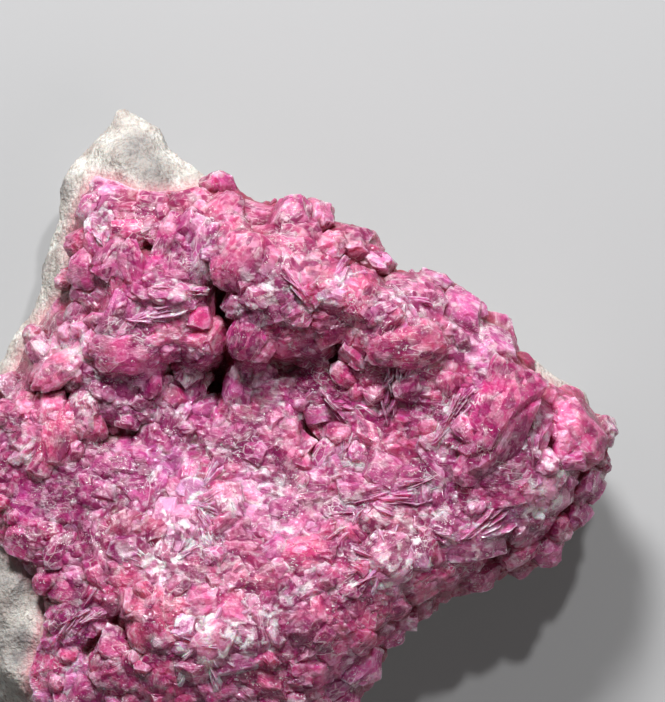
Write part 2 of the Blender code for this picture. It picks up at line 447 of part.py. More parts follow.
def overhanging_crystal(place, spread):
    """One crystal that grows outwards over the rock's side."""
    body = crystal_body(spread.choice([BLOCK, KNOB]), spread)
    half = RIM_CRYSTAL / 2.0
    size = Vector((spread.uniform(0.8, 1.2), spread.uniform(0.8, 1.1), spread.uniform(0.75, 0.95))) * half
    away = place - CENTRE
    shape = Matrix.Diagonal((size.x, size.y, size.z, 1.0))
    lean = Matrix.Rotation(math.radians(spread.uniform(55.0, 80.0)), 4, Vector((-away.y, away.x, 0.0)))
    turned = Matrix.Rotation(spread.uniform(0.0, math.pi), 4, "Z")
    middle = CENTRE + away * (1.0 - 0.5 * half / away.length)
    level = bed_level(middle.x, middle.y) - RIM_SINK * spread.uniform(0.6, 1.8)
    place_matrix = Matrix.Translation((middle.x, middle.y, level))
    bmesh.ops.transform(body, matrix=place_matrix @ lean @ turned @ shape, verts=body.verts[:])
    return body


def make_object(name, body, collection):
    """An object in metres from a body in millimetres."""
    bmesh.ops.scale(body, vec=(MM, MM, MM), verts=body.verts[:])
    mesh = bpy.data.meshes.new(name)
    body.to_mesh(mesh)
    body.free()
    made = bpy.data.objects.new(name, mesh)
    collection.objects.link(made)
    return made


def apply_boolean(target, operation, operand):
    """The target's mesh after a Boolean with an object or with all objects of a collection."""
    cut = target.modifiers.new(operation.lower(), "BOOLEAN")
    cut.operation = operation
    cut.solver = "EXACT"
    if isinstance(operand, bpy.types.Collection):
        cut.operand_type = "COLLECTION"
        cut.collection = operand
    else:
        cut.object = operand
    graph = bpy.context.evaluated_depsgraph_get()
    result = bpy.data.meshes.new_from_object(target.evaluated_get(graph))
    target.modifiers.clear()
    spent = target.data
    target.data = result
    bpy.data.meshes.remove(spent)


def keep_outer_body(target):
    """The largest connected body alone, without the small voids that crystals close off between them."""
    body = bmesh.new()
    body.from_mesh(target.data)
    unseen = set(body.verts)
    groups = []
    while unseen:
        group = set()
        front = [next(iter(unseen))]
        while front:
            corner = front.pop()
            if corner in group:
                continue
            group.add(corner)
            front.extend(edge.other_vert(corner) for edge in corner.link_edges)
        unseen -= group
        groups.append(group)
    groups.sort(key=len)
    strays = [corner for group in groups[:-1] for corner in group]
    bmesh.ops.delete(body, geom=strays, context="VERTS")
    bmesh.ops.triangulate(body, faces=body.faces[:])
    body.to_mesh(target.data)
    body.free()


def remove_objects(objects):
    """The objects and their meshes taken out of the file."""
    for spent in list(objects):
        mesh = spent.data
        bpy.data.objects.remove(spent)
        bpy.data.meshes.remove(mesh)


def make_material(name, colour, roughness_value, transmission):
    """A plain Principled material."""
    material = bpy.data.materials.new(name)
    material.use_nodes = True
    shader = material.node_tree.nodes["Principled BSDF"]
    shader.inputs["Base Color"].default_value = colour
    shader.inputs["Roughness"].default_value = roughness_value
    shader.inputs["Metallic"].default_value = 0.0
    shader.inputs["Transmission Weight"].default_value = transmission
    material.diffuse_color = colour
    return material


def build_matrix(collection):
    """The rock, with its bare apex, flank and corner, and its flat back."""
    return make_object("matrix", rock_body(), collection)


def build_rock_clearance(collection):
    """The room that the rock takes from the crust: the rock's top raised, its edge widened, its sides upright."""
    body = uneven_sheet(MATRIX_OUTLINE, rock_points(), rock_level)
    bmesh.ops.translate(body, vec=(0.0, 0.0, CLEARANCE), verts=body.verts[:])
    for corner in {v for e in body.edges if e.is_boundary for v in e.verts}:
        away = Vector((corner.co.x - CENTRE.x, corner.co.y - CENTRE.y, 0.0))
        corner.co += away.normalized() * CLEARANCE
    thicken_down(body, THICKEST)
    return make_object("rock_clearance", body, collection)


def build_crust(collection):
    """The druse: its bed with all its crystals, cut clear of the rock."""
    inner = with_hollow_points(scattered_points(CRUST_OUTLINE, COVERED_SPACING, SEED + 2))
    bed = uneven_sheet(CRUST_OUTLINE, inner, bed_level)
    thicken_down(bed, SKIRT_DEPTH)
    crust = make_object("calcite_crust", bed, collection)
    spread = random.Random(SEED)
    growth = bpy.data.collections.new("growth")
    bpy.context.scene.collection.children.link(growth)
    grown = [grow_crystal(place, spread) for place in CRYSTALS]
    for route in OVERHANGS:
        grown += [overhanging_crystal(place, spread) for place in stations(route, RIM_STEP)]
    for number, body in enumerate(grown):
        make_object(f"crystal_{number:03d}", body, growth)
    apply_boolean(crust, "UNION", growth)
    clearance = build_rock_clearance(collection)
    apply_boolean(crust, "DIFFERENCE", clearance)
    remove_objects(list(growth.objects) + [clearance])
    bpy.data.collections.remove(growth)
    keep_outer_body(crust)
    return crust


def centre_on_box(pieces):
    """The pieces moved so that their common box is centred over the origin, with its foot at Z = 0."""
    corners = [corner.co for piece in pieces for corner in piece.data.vertices]
    middle_x = (min(c.x for c in corners) + max(c.x for c in corners)) / 2.0
    middle_y = (min(c.y for c in corners) + max(c.y for c in corners)) / 2.0
    foot = min(c.z for c in corners)
    for piece in pieces:
        piece.data.transform(Matrix.Translation((-middle_x, -middle_y, -foot)))
    print("box middle in plan, mm:", round(middle_x / MM, 4), round(middle_y / MM, 4))


def build():
    """The whole specimen."""
    for old in list(bpy.data.objects):
        bpy.data.objects.remove(old)
    collection = bpy.context.scene.collection
    matrix = build_matrix(collection)
    crust = build_crust(collection)
    matrix.data.materials.append(make_material("carbonate_rock", ROCK_COLOUR, 0.85, 0.0))
    crust.data.materials.clear()
    crust.data.materials.append(make_material("pink_calcite", CALCITE_COLOUR, 0.25, 0.3))
    centre_on_box([matrix, crust])


build()
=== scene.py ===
"""Looks of the cobaltoan calcite specimen: its crystals, its rock, their finishes, a studio and a camera."""

import json
import math
import random

import bmesh
import bpy
import numpy as np
from mathutils import Matrix, Vector

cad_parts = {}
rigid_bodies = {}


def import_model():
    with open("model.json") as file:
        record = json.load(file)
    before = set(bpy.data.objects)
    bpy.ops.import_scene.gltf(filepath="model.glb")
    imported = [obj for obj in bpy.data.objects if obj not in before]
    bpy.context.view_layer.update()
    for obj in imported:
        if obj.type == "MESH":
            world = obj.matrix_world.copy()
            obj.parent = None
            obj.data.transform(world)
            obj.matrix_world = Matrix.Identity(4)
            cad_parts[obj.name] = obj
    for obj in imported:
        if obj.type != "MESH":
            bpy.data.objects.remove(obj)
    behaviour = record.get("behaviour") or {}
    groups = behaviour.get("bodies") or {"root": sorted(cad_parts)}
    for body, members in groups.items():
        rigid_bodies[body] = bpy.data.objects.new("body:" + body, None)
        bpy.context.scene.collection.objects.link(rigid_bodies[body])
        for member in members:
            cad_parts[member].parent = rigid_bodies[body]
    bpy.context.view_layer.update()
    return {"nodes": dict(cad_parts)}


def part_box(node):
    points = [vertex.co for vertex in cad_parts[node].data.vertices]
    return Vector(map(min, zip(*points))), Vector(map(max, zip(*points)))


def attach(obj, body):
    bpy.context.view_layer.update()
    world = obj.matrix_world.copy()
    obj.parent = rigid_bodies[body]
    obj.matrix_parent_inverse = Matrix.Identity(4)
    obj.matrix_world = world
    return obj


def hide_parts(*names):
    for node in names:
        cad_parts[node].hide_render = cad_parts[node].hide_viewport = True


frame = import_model()

MM = 0.001
SEED = 29

# Outline of the rock in plan, in millimetres from the lower left corner of the view from above
MATRIX_OUTLINE = [
    (12.0, 59.9), (13.4, 59.0), (15.6, 57.9), (16.7, 55.7), (18.0, 54.5), (19.6, 53.6), (21.8, 52.2),
    (23.8, 50.2), (26.6, 48.0), (30.5, 48.2), (33.0, 46.2), (36.8, 43.4), (39.6, 41.8), (42.6, 41.0),
    (45.0, 39.2), (47.4, 38.0), (49.8, 36.6), (52.3, 35.2), (54.1, 33.8), (57.2, 31.9), (59.1, 30.7),
    (59.6, 28.4), (60.0, 26.3), (59.4, 24.0), (58.4, 21.6), (56.8, 18.9), (55.0, 16.2), (52.8, 14.4),
    (50.0, 14.0), (47.5, 12.2), (44.2, 10.8), (41.2, 8.8), (38.4, 6.6), (36.8, 3.8), (35.4, 1.2),
    (33.0, -1.2), (29.0, -3.4), (23.0, -4.9), (15.0, -5.6), (7.0, -5.2), (1.0, -3.2), (-3.0, 1.6),
    (-5.0, 7.8), (-6.5, 13.8), (-6.2, 20.0), (-4.8, 26.0), (-2.4, 31.2), (0.0, 34.8), (1.2, 37.2),
    (3.0, 39.7), (4.0, 41.9), (3.7, 43.2), (4.4, 45.4), (5.3, 48.2), (5.6, 51.9), (6.7, 54.1),
    (8.5, 55.9), (10.0, 57.6), (11.3, 59.7),
]

# Outline of the druse
CRUST_OUTLINE = [
    (22.8, 52.2), (20.2, 51.6), (17.0, 51.1), (14.0, 51.0), (11.5, 52.2), (9.4, 52.6), (8.0, 50.8),
    (7.2, 48.8), (6.6, 46.4), (6.6, 44.0), (6.9, 41.8), (5.2, 40.0), (3.6, 38.0), (2.4, 36.0),
    (1.2, 33.4), (-0.6, 30.6), (-2.4, 27.0), (-3.6, 22.6), (-3.4, 18.8), (-1.4, 16.6), (1.0, 14.8),
    (3.2, 12.4), (4.4, 10.0), (3.8, 6.2), (2.6, 2.4), (3.2, -1.0), (6.4, -3.6), (13.0, -5.0),
    (20.0, -5.4), (24.6, -5.2), (30.2, -3.7), (34.6, -1.0), (37.0, 1.8), (38.2, 4.4), (39.8, 6.2),
    (42.4, 8.0), (44.9, 10.0), (48.2, 11.0), (50.6, 12.9), (53.8, 13.2), (56.2, 15.4), (58.0, 18.5),
    (59.5, 21.2), (60.7, 24.1), (61.2, 26.2), (60.2, 28.6), (58.0, 29.9), (55.6, 31.2), (53.4, 32.8),
    (51.8, 34.4), (50.9, 36.8), (48.4, 39.1), (45.9, 40.4), (43.4, 42.4), (40.0, 43.1), (37.6, 44.7),
    (33.6, 47.3), (31.0, 49.6), (28.8, 49.8), (26.4, 49.4), (24.4, 51.2),
]

# Stretches of that outline where crystals hang over the rock's side
OVERHANGS = [
    [(6.4, -3.6), (13.0, -5.0), (20.0, -5.4), (24.6, -5.2), (30.2, -3.7), (34.6, -1.0), (37.0, 1.8),
     (38.2, 4.4), (39.8, 6.2), (42.4, 8.0), (44.9, 10.0), (48.2, 11.0), (50.6, 12.9), (53.8, 13.2),
     (56.2, 15.4), (58.0, 18.5), (59.5, 21.2), (60.7, 24.1), (61.0, 26.2), (60.2, 28.6)],
    [(50.9, 36.8), (48.4, 39.1), (45.9, 40.4), (43.4, 42.4), (40.0, 43.1), (37.6, 44.7), (33.6, 47.3),
     (31.0, 49.6), (28.8, 49.8), (26.4, 49.4), (24.4, 51.2)],
]

# Levels of the face between the crystals: plan place and height
LEVEL_MARKS = [
    (12.0, 58.6, 11.0), (13.0, 56.0, 14.5), (9.5, 53.0, 14.5), (18.0, 53.0, 15.5), (6.5, 50.0, 13.5),
    (5.5, 44.0, 13.5), (3.0, 37.0, 13.0), (13.0, 47.2, 17.5), (19.0, 47.2, 18.5), (9.0, 43.2, 16.5),
    (17.0, 41.2, 19.0), (6.2, 40.5, 14.5), (13.0, 36.0, 17.8), (17.0, 34.4, 15.5), (24.2, 44.0, 20.5),
    (29.5, 48.5, 18.5), (30.0, 42.2, 22.2), (36.0, 41.2, 22.2), (40.2, 37.0, 21.4), (34.0, 45.6, 19.0),
    (43.5, 39.4, 19.5), (25.0, 37.2, 20.0), (30.0, 36.6, 19.2), (47.0, 34.4, 18.6), (50.0, 28.2, 19.8),
    (56.0, 27.4, 17.6), (60.5, 26.6, 15.0), (54.0, 20.6, 17.4), (48.2, 16.4, 18.2), (54.4, 15.0, 14.5),
    (44.0, 11.8, 16.6), (30.0, 30.8, 14.6), (25.0, 31.6, 13.4), (21.2, 30.6, 10.6), (27.0, 25.8, 15.2),
    (35.0, 26.4, 16.8), (31.0, 21.6, 16.0), (42.0, 30.0, 17.8), (5.0, 32.0, 13.6), (10.0, 28.4, 14.0),
    (6.0, 25.6, 15.4), (12.0, 22.8, 14.6), (3.0, 23.0, 14.4), (16.4, 24.2, 14.4), (-2.0, 24.0, 13.2),
    (3.4, 18.4, 14.6), (6.0, 13.0, 15.4), (10.0, 16.4, 17.0), (15.0, 11.2, 20.2), (20.0, 16.8, 18.6),
    (23.0, 6.4, 21.2), (31.0, 8.2, 20.6), (30.0, 14.2, 20.2), (39.0, 14.2, 20.0), (38.2, 21.4, 18.6),
    (24.4, 19.0, 17.4), (36.0, 4.0, 16.2), (2.0, 6.2, 14.4), (-3.4, 10.4, 12.0), (-5.0, 15.0, 12.0),
    (9.0, 4.0, 17.4), (14.0, 0.0, 17.6), (22.0, -1.4, 18.0), (30.0, -1.0, 16.4), (4.0, -1.6, 14.0),
]
LEVEL_REACH = 4.5
RIM_DROP = 4.4
RIM_WIDTH = 4.2

# Hollows between the crystals: route in plan, half width, depth
HOLLOWS = [
    ([(21.2, 42.2), (22.2, 40.2), (22.2, 37.2), (22.5, 34.7), (21.6, 31.6)], 0.95, 6.4),
    ([(20.4, 29.4), (21.8, 29.0)], 0.8, 2.6),
    ([(14.6, 45.2), (16.2, 45.4)], 0.9, 3.0),
    ([(6.8, 39.4), (9.0, 39.2)], 0.8, 2.4),
    ([(27.6, 33.6), (30.0, 33.4)], 0.8, 3.4),
    ([(34.4, 37.4), (34.0, 34.4)], 0.7, 3.6),
    ([(31.0, 28.4), (31.4, 24.8)], 0.7, 3.0),
    ([(10.2, 26.9), (14.0, 26.8)], 0.9, 2.6),
    ([(17.0, 34.4), (17.2, 33.0)], 0.9, 3.0),
    ([(4.0, 31.2), (6.6, 30.8)], 1.0, 4.0),
    ([(6.0, 16.8), (7.4, 16.7)], 0.7, 2.6),
    ([(11.2, 8.6), (13.2, 6.2)], 1.0, 4.2),
    ([(8.8, 5.0), (10.6, 6.2)], 0.7, 3.0),
    ([(50.0, 15.4), (49.6, 13.8)], 0.8, 3.4),
    ([(54.8, 27.2), (54.6, 25.0)], 0.7, 3.0),
    ([(36.2, 16.8), (37.2, 16.6)], 0.7, 2.6),
    ([(46.6, 24.6), (50.2, 25.2), (52.6, 27.8)], 0.6, 2.4),
]

# Colours of the calcite and the rock, as seen in plain light: sRGB
TONES = {
    "crimson": (158, 18, 62),
    "deep": (186, 30, 98),
    "magenta": (218, 52, 138),
    "violet": (190, 72, 146),
    "rose": (220, 88, 132),
    "salmon": (220, 98, 130),
    "lilac": (216, 120, 178),
    "pale": (240, 168, 198),
    "white": (250, 224, 230),
    "cream": (240, 206, 200),
    "tan": (196, 134, 118),
}

# Each crystal: plan place, height of its top, length, width, turn of its length in degrees, form, tone
CRYSTALS = {
    "upper_left_mound": [
        (21.7, 52.0, 16.4, 2.8, 2.4, 20, "block", "lilac"), (22.4, 49.0, 20.4, 4.4, 4.0, 60, "knob", "salmon"),
        (18.8, 49.6, 19.6, 4.4, 3.0, 8, "block", "rose"), (15.4, 49.6, 18.4, 3.2, 2.4, -10, "block", "rose"),
        # The white blade at (9.8, 46.9) stands for a glinting facet: its white tone is a painted highlight.
        (12.2, 49.0, 18.2, 3.4, 2.0, 4, "blade", "crimson"), (9.8, 46.9, 18.6, 3.8, 2.2, -45, "blade", "white"),
        (7.9, 46.0, 16.6, 2.8, 2.6, 30, "block", "deep"), (9.0, 49.4, 16.2, 3.0, 2.4, 40, "knob", "pale"),
        (13.0, 46.9, 20.4, 3.2, 2.2, 15, "block", "magenta"), (15.4, 47.2, 20.2, 2.8, 2.0, -20, "block", "crimson"),
        (11.2, 44.9, 20.8, 4.4, 2.4, 60, "blade", "violet"), (13.2, 43.8, 21.6, 4.4, 2.4, 88, "lens", "magenta"),
        (15.7, 43.4, 21.4, 2.6, 2.4, 35, "block", "magenta"), (8.6, 43.2, 18.8, 4.2, 3.6, 20, "knob", "magenta"),
        (11.4, 41.6, 20.2, 4.4, 2.2, 96, "blade", "deep"), (8.6, 40.8, 17.8, 3.2, 2.4, 0, "knob", "pale"),
        (17.4, 46.4, 21.2, 3.8, 2.8, 62, "block", "violet"), (17.7, 43.6, 22.2, 4.0, 2.8, 80, "block", "violet"),
        (19.9, 45.0, 22.6, 5.6, 2.4, 86, "blade", "lilac"), (17.2, 41.0, 22.2, 4.8, 2.8, -18, "plate", "pale"),
        (14.6, 41.2, 21.6, 3.6, 2.8, -12, "plate", "violet"), (13.4, 38.7, 20.8, 4.2, 2.6, 17, "plate", "white"),
        (16.8, 39.2, 21.2, 4.0, 2.4, 15, "plate", "pale"), (17.6, 37.4, 20.4, 5.2, 2.8, 8, "block", "rose"),
        (19.7, 41.8, 21.0, 2.8, 2.2, 60, "block", "deep"), (20.3, 39.6, 20.2, 4.4, 1.8, 90, "blade", "magenta"),
        (6.4, 42.2, 15.4, 2.2, 2.0, 0, "knob", "cream"),
    ],
    "upper_ridge": [
        (24.3, 44.0, 25.2, 5.8, 5.4, 70, "knob", "rose"), (27.1, 44.2, 24.8, 3.4, 3.0, 80, "block", "salmon"),
        (26.0, 48.2, 19.8, 3.8, 2.8, -5, "block", "pale"), (29.0, 48.4, 21.4, 4.4, 3.6, 80, "knob", "lilac"),
        (31.6, 48.2, 20.4, 3.4, 2.8, 76, "block", "pale"), (30.2, 45.2, 23.4, 3.8, 3.2, 20, "knob", "rose"),
        (26.8, 46.4, 22.4, 2.8, 2.4, 10, "block", "rose"), (33.0, 45.4, 22.2, 3.2, 2.6, 40, "block", "rose"),
        (35.2, 45.4, 20.8, 4.8, 3.4, -28, "block", "rose"), (37.6, 43.6, 20.6, 3.2, 2.6, -20, "plate", "pale"),
        (29.2, 42.6, 25.2, 3.6, 2.0, -48, "blade", "pale"), (31.8, 42.0, 25.6, 4.4, 2.6, 50, "blade", "deep"),
        (33.7, 41.4, 26.2, 4.2, 2.2, 48, "blade", "white"), (36.2, 40.8, 25.8, 5.0, 4.4, 60, "block", "rose"),
        (40.8, 40.4, 23.2, 6.4, 5.0, -10, "block", "pale"), (40.4, 35.9, 24.8, 7.4, 4.6, -4, "knob", "salmon"),
        (44.6, 37.4, 22.0, 3.8, 2.8, 86, "block", "rose"), (43.4, 41.6, 19.4, 2.8, 2.4, -30, "block", "lilac"),
        (24.0, 40.0, 23.6, 3.0, 2.6, 70, "block", "lilac"), (27.0, 40.2, 24.6, 4.4, 3.6, 10, "block", "pale"),
        (29.9, 39.0, 24.2, 3.0, 2.6, 30, "block", "pale"), (24.8, 36.6, 23.0, 4.4, 3.4, 80, "knob", "magenta"),
        (28.4, 36.6, 22.2, 4.8, 3.6, 6, "block", "deep"), (32.2, 38.6, 24.0, 3.2, 2.6, 8, "block", "crimson"),
        (32.0, 36.0, 21.8, 3.0, 2.8, 30, "block", "deep"), (35.8, 37.2, 23.4, 2.8, 2.8, 70, "block", "rose"),
    ],
    "right_slope": [
        (46.2, 38.6, 20.8, 4.8, 4.0, -30, "block", "lilac"), (49.2, 34.8, 21.4, 6.2, 4.8, -22, "block", "lilac"),
        (49.8, 28.2, 24.4, 10.0, 4.8, 54, "blade", "magenta"), (49.6, 22.7, 22.2, 7.8, 5.2, 20, "block", "magenta"),
        (53.4, 26.6, 21.2, 4.4, 2.2, 80, "blade", "pale"), (45.0, 28.9, 22.2, 6.6, 2.6, 57, "blade", "pale"),
        (57.6, 26.8, 19.8, 6.6, 5.8, -30, "knob", "magenta"), (60.4, 27.0, 16.8, 2.8, 2.4, 80, "block", "white"),
        (41.6, 31.2, 21.2, 6.8, 2.6, 80, "blade", "violet"), (43.6, 32.2, 21.8, 5.4, 2.2, 72, "blade", "rose"),
        (46.2, 32.2, 21.4, 3.6, 2.8, 60, "block", "rose"), (54.8, 20.8, 20.4, 7.0, 4.6, 68, "block", "cream"),
        (58.6, 21.6, 16.4, 3.8, 2.8, 60, "block", "lilac"), (57.4, 18.8, 15.6, 3.0, 2.6, 50, "block", "lilac"),
        (60.0, 23.8, 15.6, 2.6, 2.2, 70, "knob", "lilac"), (52.0, 15.0, 16.8, 4.0, 3.2, 10, "knob", "rose"),
        (54.9, 15.2, 15.4, 3.6, 3.0, 40, "knob", "lilac"), (56.0, 17.4, 16.4, 3.0, 2.6, 50, "knob", "rose"),
        (47.3, 16.9, 21.2, 6.0, 4.2, 20, "block", "pale"), (44.8, 21.6, 21.2, 5.2, 2.2, 85, "blade", "lilac"),
        (50.6, 18.9, 20.4, 3.8, 2.6, 0, "block", "lilac"), (44.6, 12.8, 19.2, 4.8, 3.6, 15, "block", "deep"),
        (48.2, 12.8, 16.4, 3.6, 2.8, 10, "block", "magenta"), (41.8, 9.4, 15.8, 3.0, 2.6, 40, "knob", "pale"),
        (52.4, 32.2, 19.8, 3.2, 2.6, -20, "block", "rose"), (55.2, 30.4, 18.6, 3.4, 2.6, -30, "block", "magenta"),
        (54.6, 18.2, 18.6, 2.8, 2.4, 0, "block", "rose"), (41.6, 27.0, 21.0, 3.0, 2.6, 40, "block", "rose"),
    ],
    "central_pocket": [
        (19.0, 30.6, 16.0, 3.6, 2.2, 88, "blade", "lilac"), (25.6, 32.6, 18.4, 4.4, 3.6, 80, "knob", "lilac"),
        (24.4, 29.7, 17.0, 4.8, 2.4, 5, "block", "rose"), (27.4, 29.2, 18.0, 3.0, 2.4, 60, "blade", "pale"),
        (34.7, 30.0, 20.0, 7.8, 2.8, -40, "blade", "magenta"), (32.6, 27.6, 18.0, 3.4, 2.2, -35, "block", "rose"),
        (24.1, 26.3, 17.9, 4.4, 3.2, 10, "block", "violet"), (28.1, 25.2, 19.0, 5.0, 4.2, 40, "block", "rose"),
        (32.8, 24.4, 18.9, 5.2, 2.8, 75, "lens", "lilac"), (36.4, 24.8, 19.4, 3.0, 2.4, 60, "block", "white"),
        (34.4, 21.6, 19.2, 3.8, 2.8, 60, "block", "deep"), (31.0, 19.4, 19.8, 5.0, 3.8, -10, "block", "violet"),
        (39.2, 26.0, 20.4, 5.4, 3.8, 15, "block", "rose"), (29.8, 31.4, 17.8, 3.6, 2.8, 20, "block", "violet"),
        (31.8, 33.6, 19.2, 3.0, 2.6, 50, "block", "deep"), (37.4, 33.0, 21.4, 3.8, 2.8, -30, "block", "deep"),
        (22.2, 23.2, 17.8, 3.0, 2.6, 20, "block", "rose"), (25.2, 22.2, 18.4, 3.4, 2.8, -10, "block", "pale"),
        (28.6, 21.8, 18.4, 2.8, 2.4, 30, "knob", "cream"), (20.2, 26.4, 16.6, 3.2, 2.8, 60, "block", "violet"),
        (38.2, 29.4, 19.6, 3.4, 2.8, 60, "block", "rose"),
    ],
    "left_middle": [
        (12.6, 35.4, 21.2, 6.4, 4.8, 0, "knob", "magenta"), (12.2, 31.6, 18.0, 4.2, 3.0, 10, "block", "violet"),
        (8.4, 35.6, 17.6, 3.2, 2.6, 40, "block", "pale"), (5.4, 35.4, 16.0, 3.2, 2.4, 30, "block", "cream"),
        (5.8, 33.1, 18.2, 5.4, 2.4, 29, "lens", "rose"), (8.8, 31.4, 17.4, 3.0, 2.4, 60, "block", "cream"),
        (6.0, 27.0, 18.4, 5.8, 3.2, 76, "block", "rose"), (3.0, 25.4, 17.2, 4.6, 2.4, 60, "blade", "pale"),
        (1.2, 28.6, 16.2, 3.6, 2.8, 0, "block", "rose"), (16.8, 27.6, 17.4, 3.2, 2.4, 70, "lens", "violet"),
        (16.0, 31.0, 17.2, 3.4, 2.8, 80, "block", "magenta"), (12.0, 23.0, 18.2, 6.2, 4.4, -10, "lens", "violet"),
        (16.6, 23.6, 17.4, 3.6, 2.8, -30, "lens", "lilac"), (14.8, 20.4, 18.8, 4.0, 2.0, 75, "blade", "lilac"),
        (17.4, 20.9, 18.0, 3.4, 2.2, 70, "block", "rose"), (8.2, 21.4, 18.2, 4.0, 3.4, 10, "knob", "violet"),
        (11.2, 19.6, 17.8, 3.0, 2.4, -10, "block", "rose"), (3.4, 19.9, 17.2, 4.6, 2.8, -5, "lens", "violet"),
        (7.4, 18.6, 17.6, 3.0, 2.4, 0, "block", "violet"), (0.2, 22.6, 15.8, 3.6, 3.0, 40, "block", "rose"),
        (9.0, 24.8, 16.8, 2.6, 2.4, 30, "block", "rose"), (-1.6, 26.0, 14.6, 3.8, 3.0, 60, "block", "lilac"),
        (-2.0, 21.4, 14.8, 3.8, 3.0, 80, "block", "magenta"), (-0.8, 18.4, 15.0, 3.2, 2.8, 20, "knob", "rose"),
        (0.2, 31.6, 13.8, 2.6, 2.2, 40, "block", "cream"), (3.2, 36.6, 14.6, 2.4, 2.0, 40, "knob", "cream"),
    ],
    "lower_left": [
        (3.2, 16.2, 17.6, 5.0, 3.4, -15, "block", "magenta"), (7.2, 14.6, 18.2, 3.6, 2.2, -10, "lens", "violet"),
        (9.8, 15.4, 19.8, 6.2, 2.6, -68, "blade", "deep"), (13.4, 15.6, 20.4, 3.6, 3.0, 20, "block", "crimson"),
        (12.2, 12.0, 20.2, 3.2, 2.8, 50, "block", "rose"), (5.0, 12.2, 17.4, 3.6, 2.8, 10, "knob", "salmon"),
        (6.6, 9.6, 18.2, 5.2, 2.2, 38, "blade", "lilac"), (8.4, 8.0, 18.8, 5.2, 2.2, 36, "blade", "violet"),
        (6.2, 6.6, 17.4, 4.4, 2.0, 40, "blade", "lilac"), (9.2, 11.0, 19.2, 3.4, 2.4, 60, "block", "rose"),
        (5.2, 3.4, 16.4, 3.6, 2.6, 30, "block", "rose"), (7.4, 3.2, 17.6, 3.2, 2.2, 43, "blade", "pale"),
        (19.6, 19.0, 20.4, 4.4, 3.2, 30, "plate", "white"), (21.8, 20.4, 19.6, 3.8, 2.0, 45, "blade", "white"),
        (17.6, 16.8, 20.6, 3.6, 2.8, -60, "plate", "white"), (20.8, 16.0, 20.8, 3.8, 2.6, -20, "block", "pale"),
        (16.4, 13.4, 21.4, 4.4, 3.6, 10, "knob", "cream"), (20.6, 13.0, 21.6, 4.2, 2.8, -12, "block", "rose"),
    ],
    "lower_field": [
        (15.9, 8.6, 23.4, 6.8, 5.4, 80, "knob", "salmon"), (21.2, 10.2, 23.2, 5.6, 3.0, -10, "block", "magenta"),
        (21.0, 6.2, 24.4, 5.6, 4.8, 20, "knob", "white"), (26.2, 7.6, 23.8, 5.2, 2.8, 84, "blade", "cream"),
        (25.8, 11.8, 23.0, 5.0, 3.0, 0, "block", "deep"), (30.2, 11.2, 23.2, 4.0, 2.4, 5, "plate", "pale"),
        (30.4, 7.6, 23.4, 5.2, 4.0, 30, "block", "deep"), (34.8, 8.0, 22.4, 5.0, 4.2, 70, "block", "deep"),
        (31.4, 3.6, 21.4, 4.8, 3.6, 0, "block", "magenta"), (26.0, 18.4, 20.2, 4.6, 3.0, 0, "plate", "pale"),
        (25.0, 15.2, 21.4, 4.8, 3.0, 5, "block", "deep"), (30.2, 14.6, 22.8, 5.2, 3.4, -10, "block", "magenta"),
        (30.2, 17.2, 21.2, 3.8, 2.4, 10, "plate", "pale"), (38.4, 21.4, 21.4, 7.8, 3.4, 5, "blade", "lilac"),
        (36.4, 18.8, 21.2, 3.6, 2.6, -20, "knob", "cream"), (40.6, 18.0, 21.4, 4.8, 3.6, 20, "knob", "tan"),
        (38.8, 14.2, 23.4, 5.0, 4.6, 30, "knob", "white"), (34.2, 16.2, 22.0, 5.0, 2.8, 80, "blade", "rose"),
        (34.8, 12.2, 22.8, 4.2, 3.4, 20, "block", "rose"), (36.2, 3.6, 18.2, 4.2, 3.2, 60, "block", "lilac"),
        (42.8, 14.8, 21.6, 4.0, 2.8, 70, "block", "deep"), (41.2, 11.6, 20.4, 4.4, 3.2, 20, "block", "rose"),
        (38.0, 9.6, 21.2, 4.2, 3.4, 40, "block", "rose"), (39.0, 6.8, 16.8, 3.2, 2.6, 50, "knob", "pale"),
    ],
    "foot": [
        (11.8, 3.0, 20.4, 4.8, 3.6, 30, "block", "rose"), (16.4, 2.8, 21.6, 5.0, 3.8, 70, "knob", "rose"),
        (21.6, 1.6, 21.4, 5.2, 3.8, 10, "block", "magenta"), (26.6, 2.2, 21.2, 5.4, 3.8, -20, "block", "deep"),
        (30.6, -0.6, 18.8, 4.6, 3.6, 30, "knob", "rose"), (34.2, 0.4, 16.8, 3.6, 3.0, 50, "block", "lilac"),
        (7.8, -0.4, 17.4, 4.2, 3.2, 20, "block", "magenta"), (12.2, -2.2, 17.2, 4.4, 3.4, 0, "knob", "lilac"),
        (17.2, -2.6, 18.0, 4.6, 3.4, -20, "block", "rose"), (22.2, -2.8, 17.6, 4.6, 3.2, 20, "block", "violet"),
        (26.6, -2.6, 17.0, 4.2, 3.2, -10, "knob", "rose"), (4.8, -1.2, 15.2, 3.0, 2.6, 40, "knob", "pale"),
    ],
}

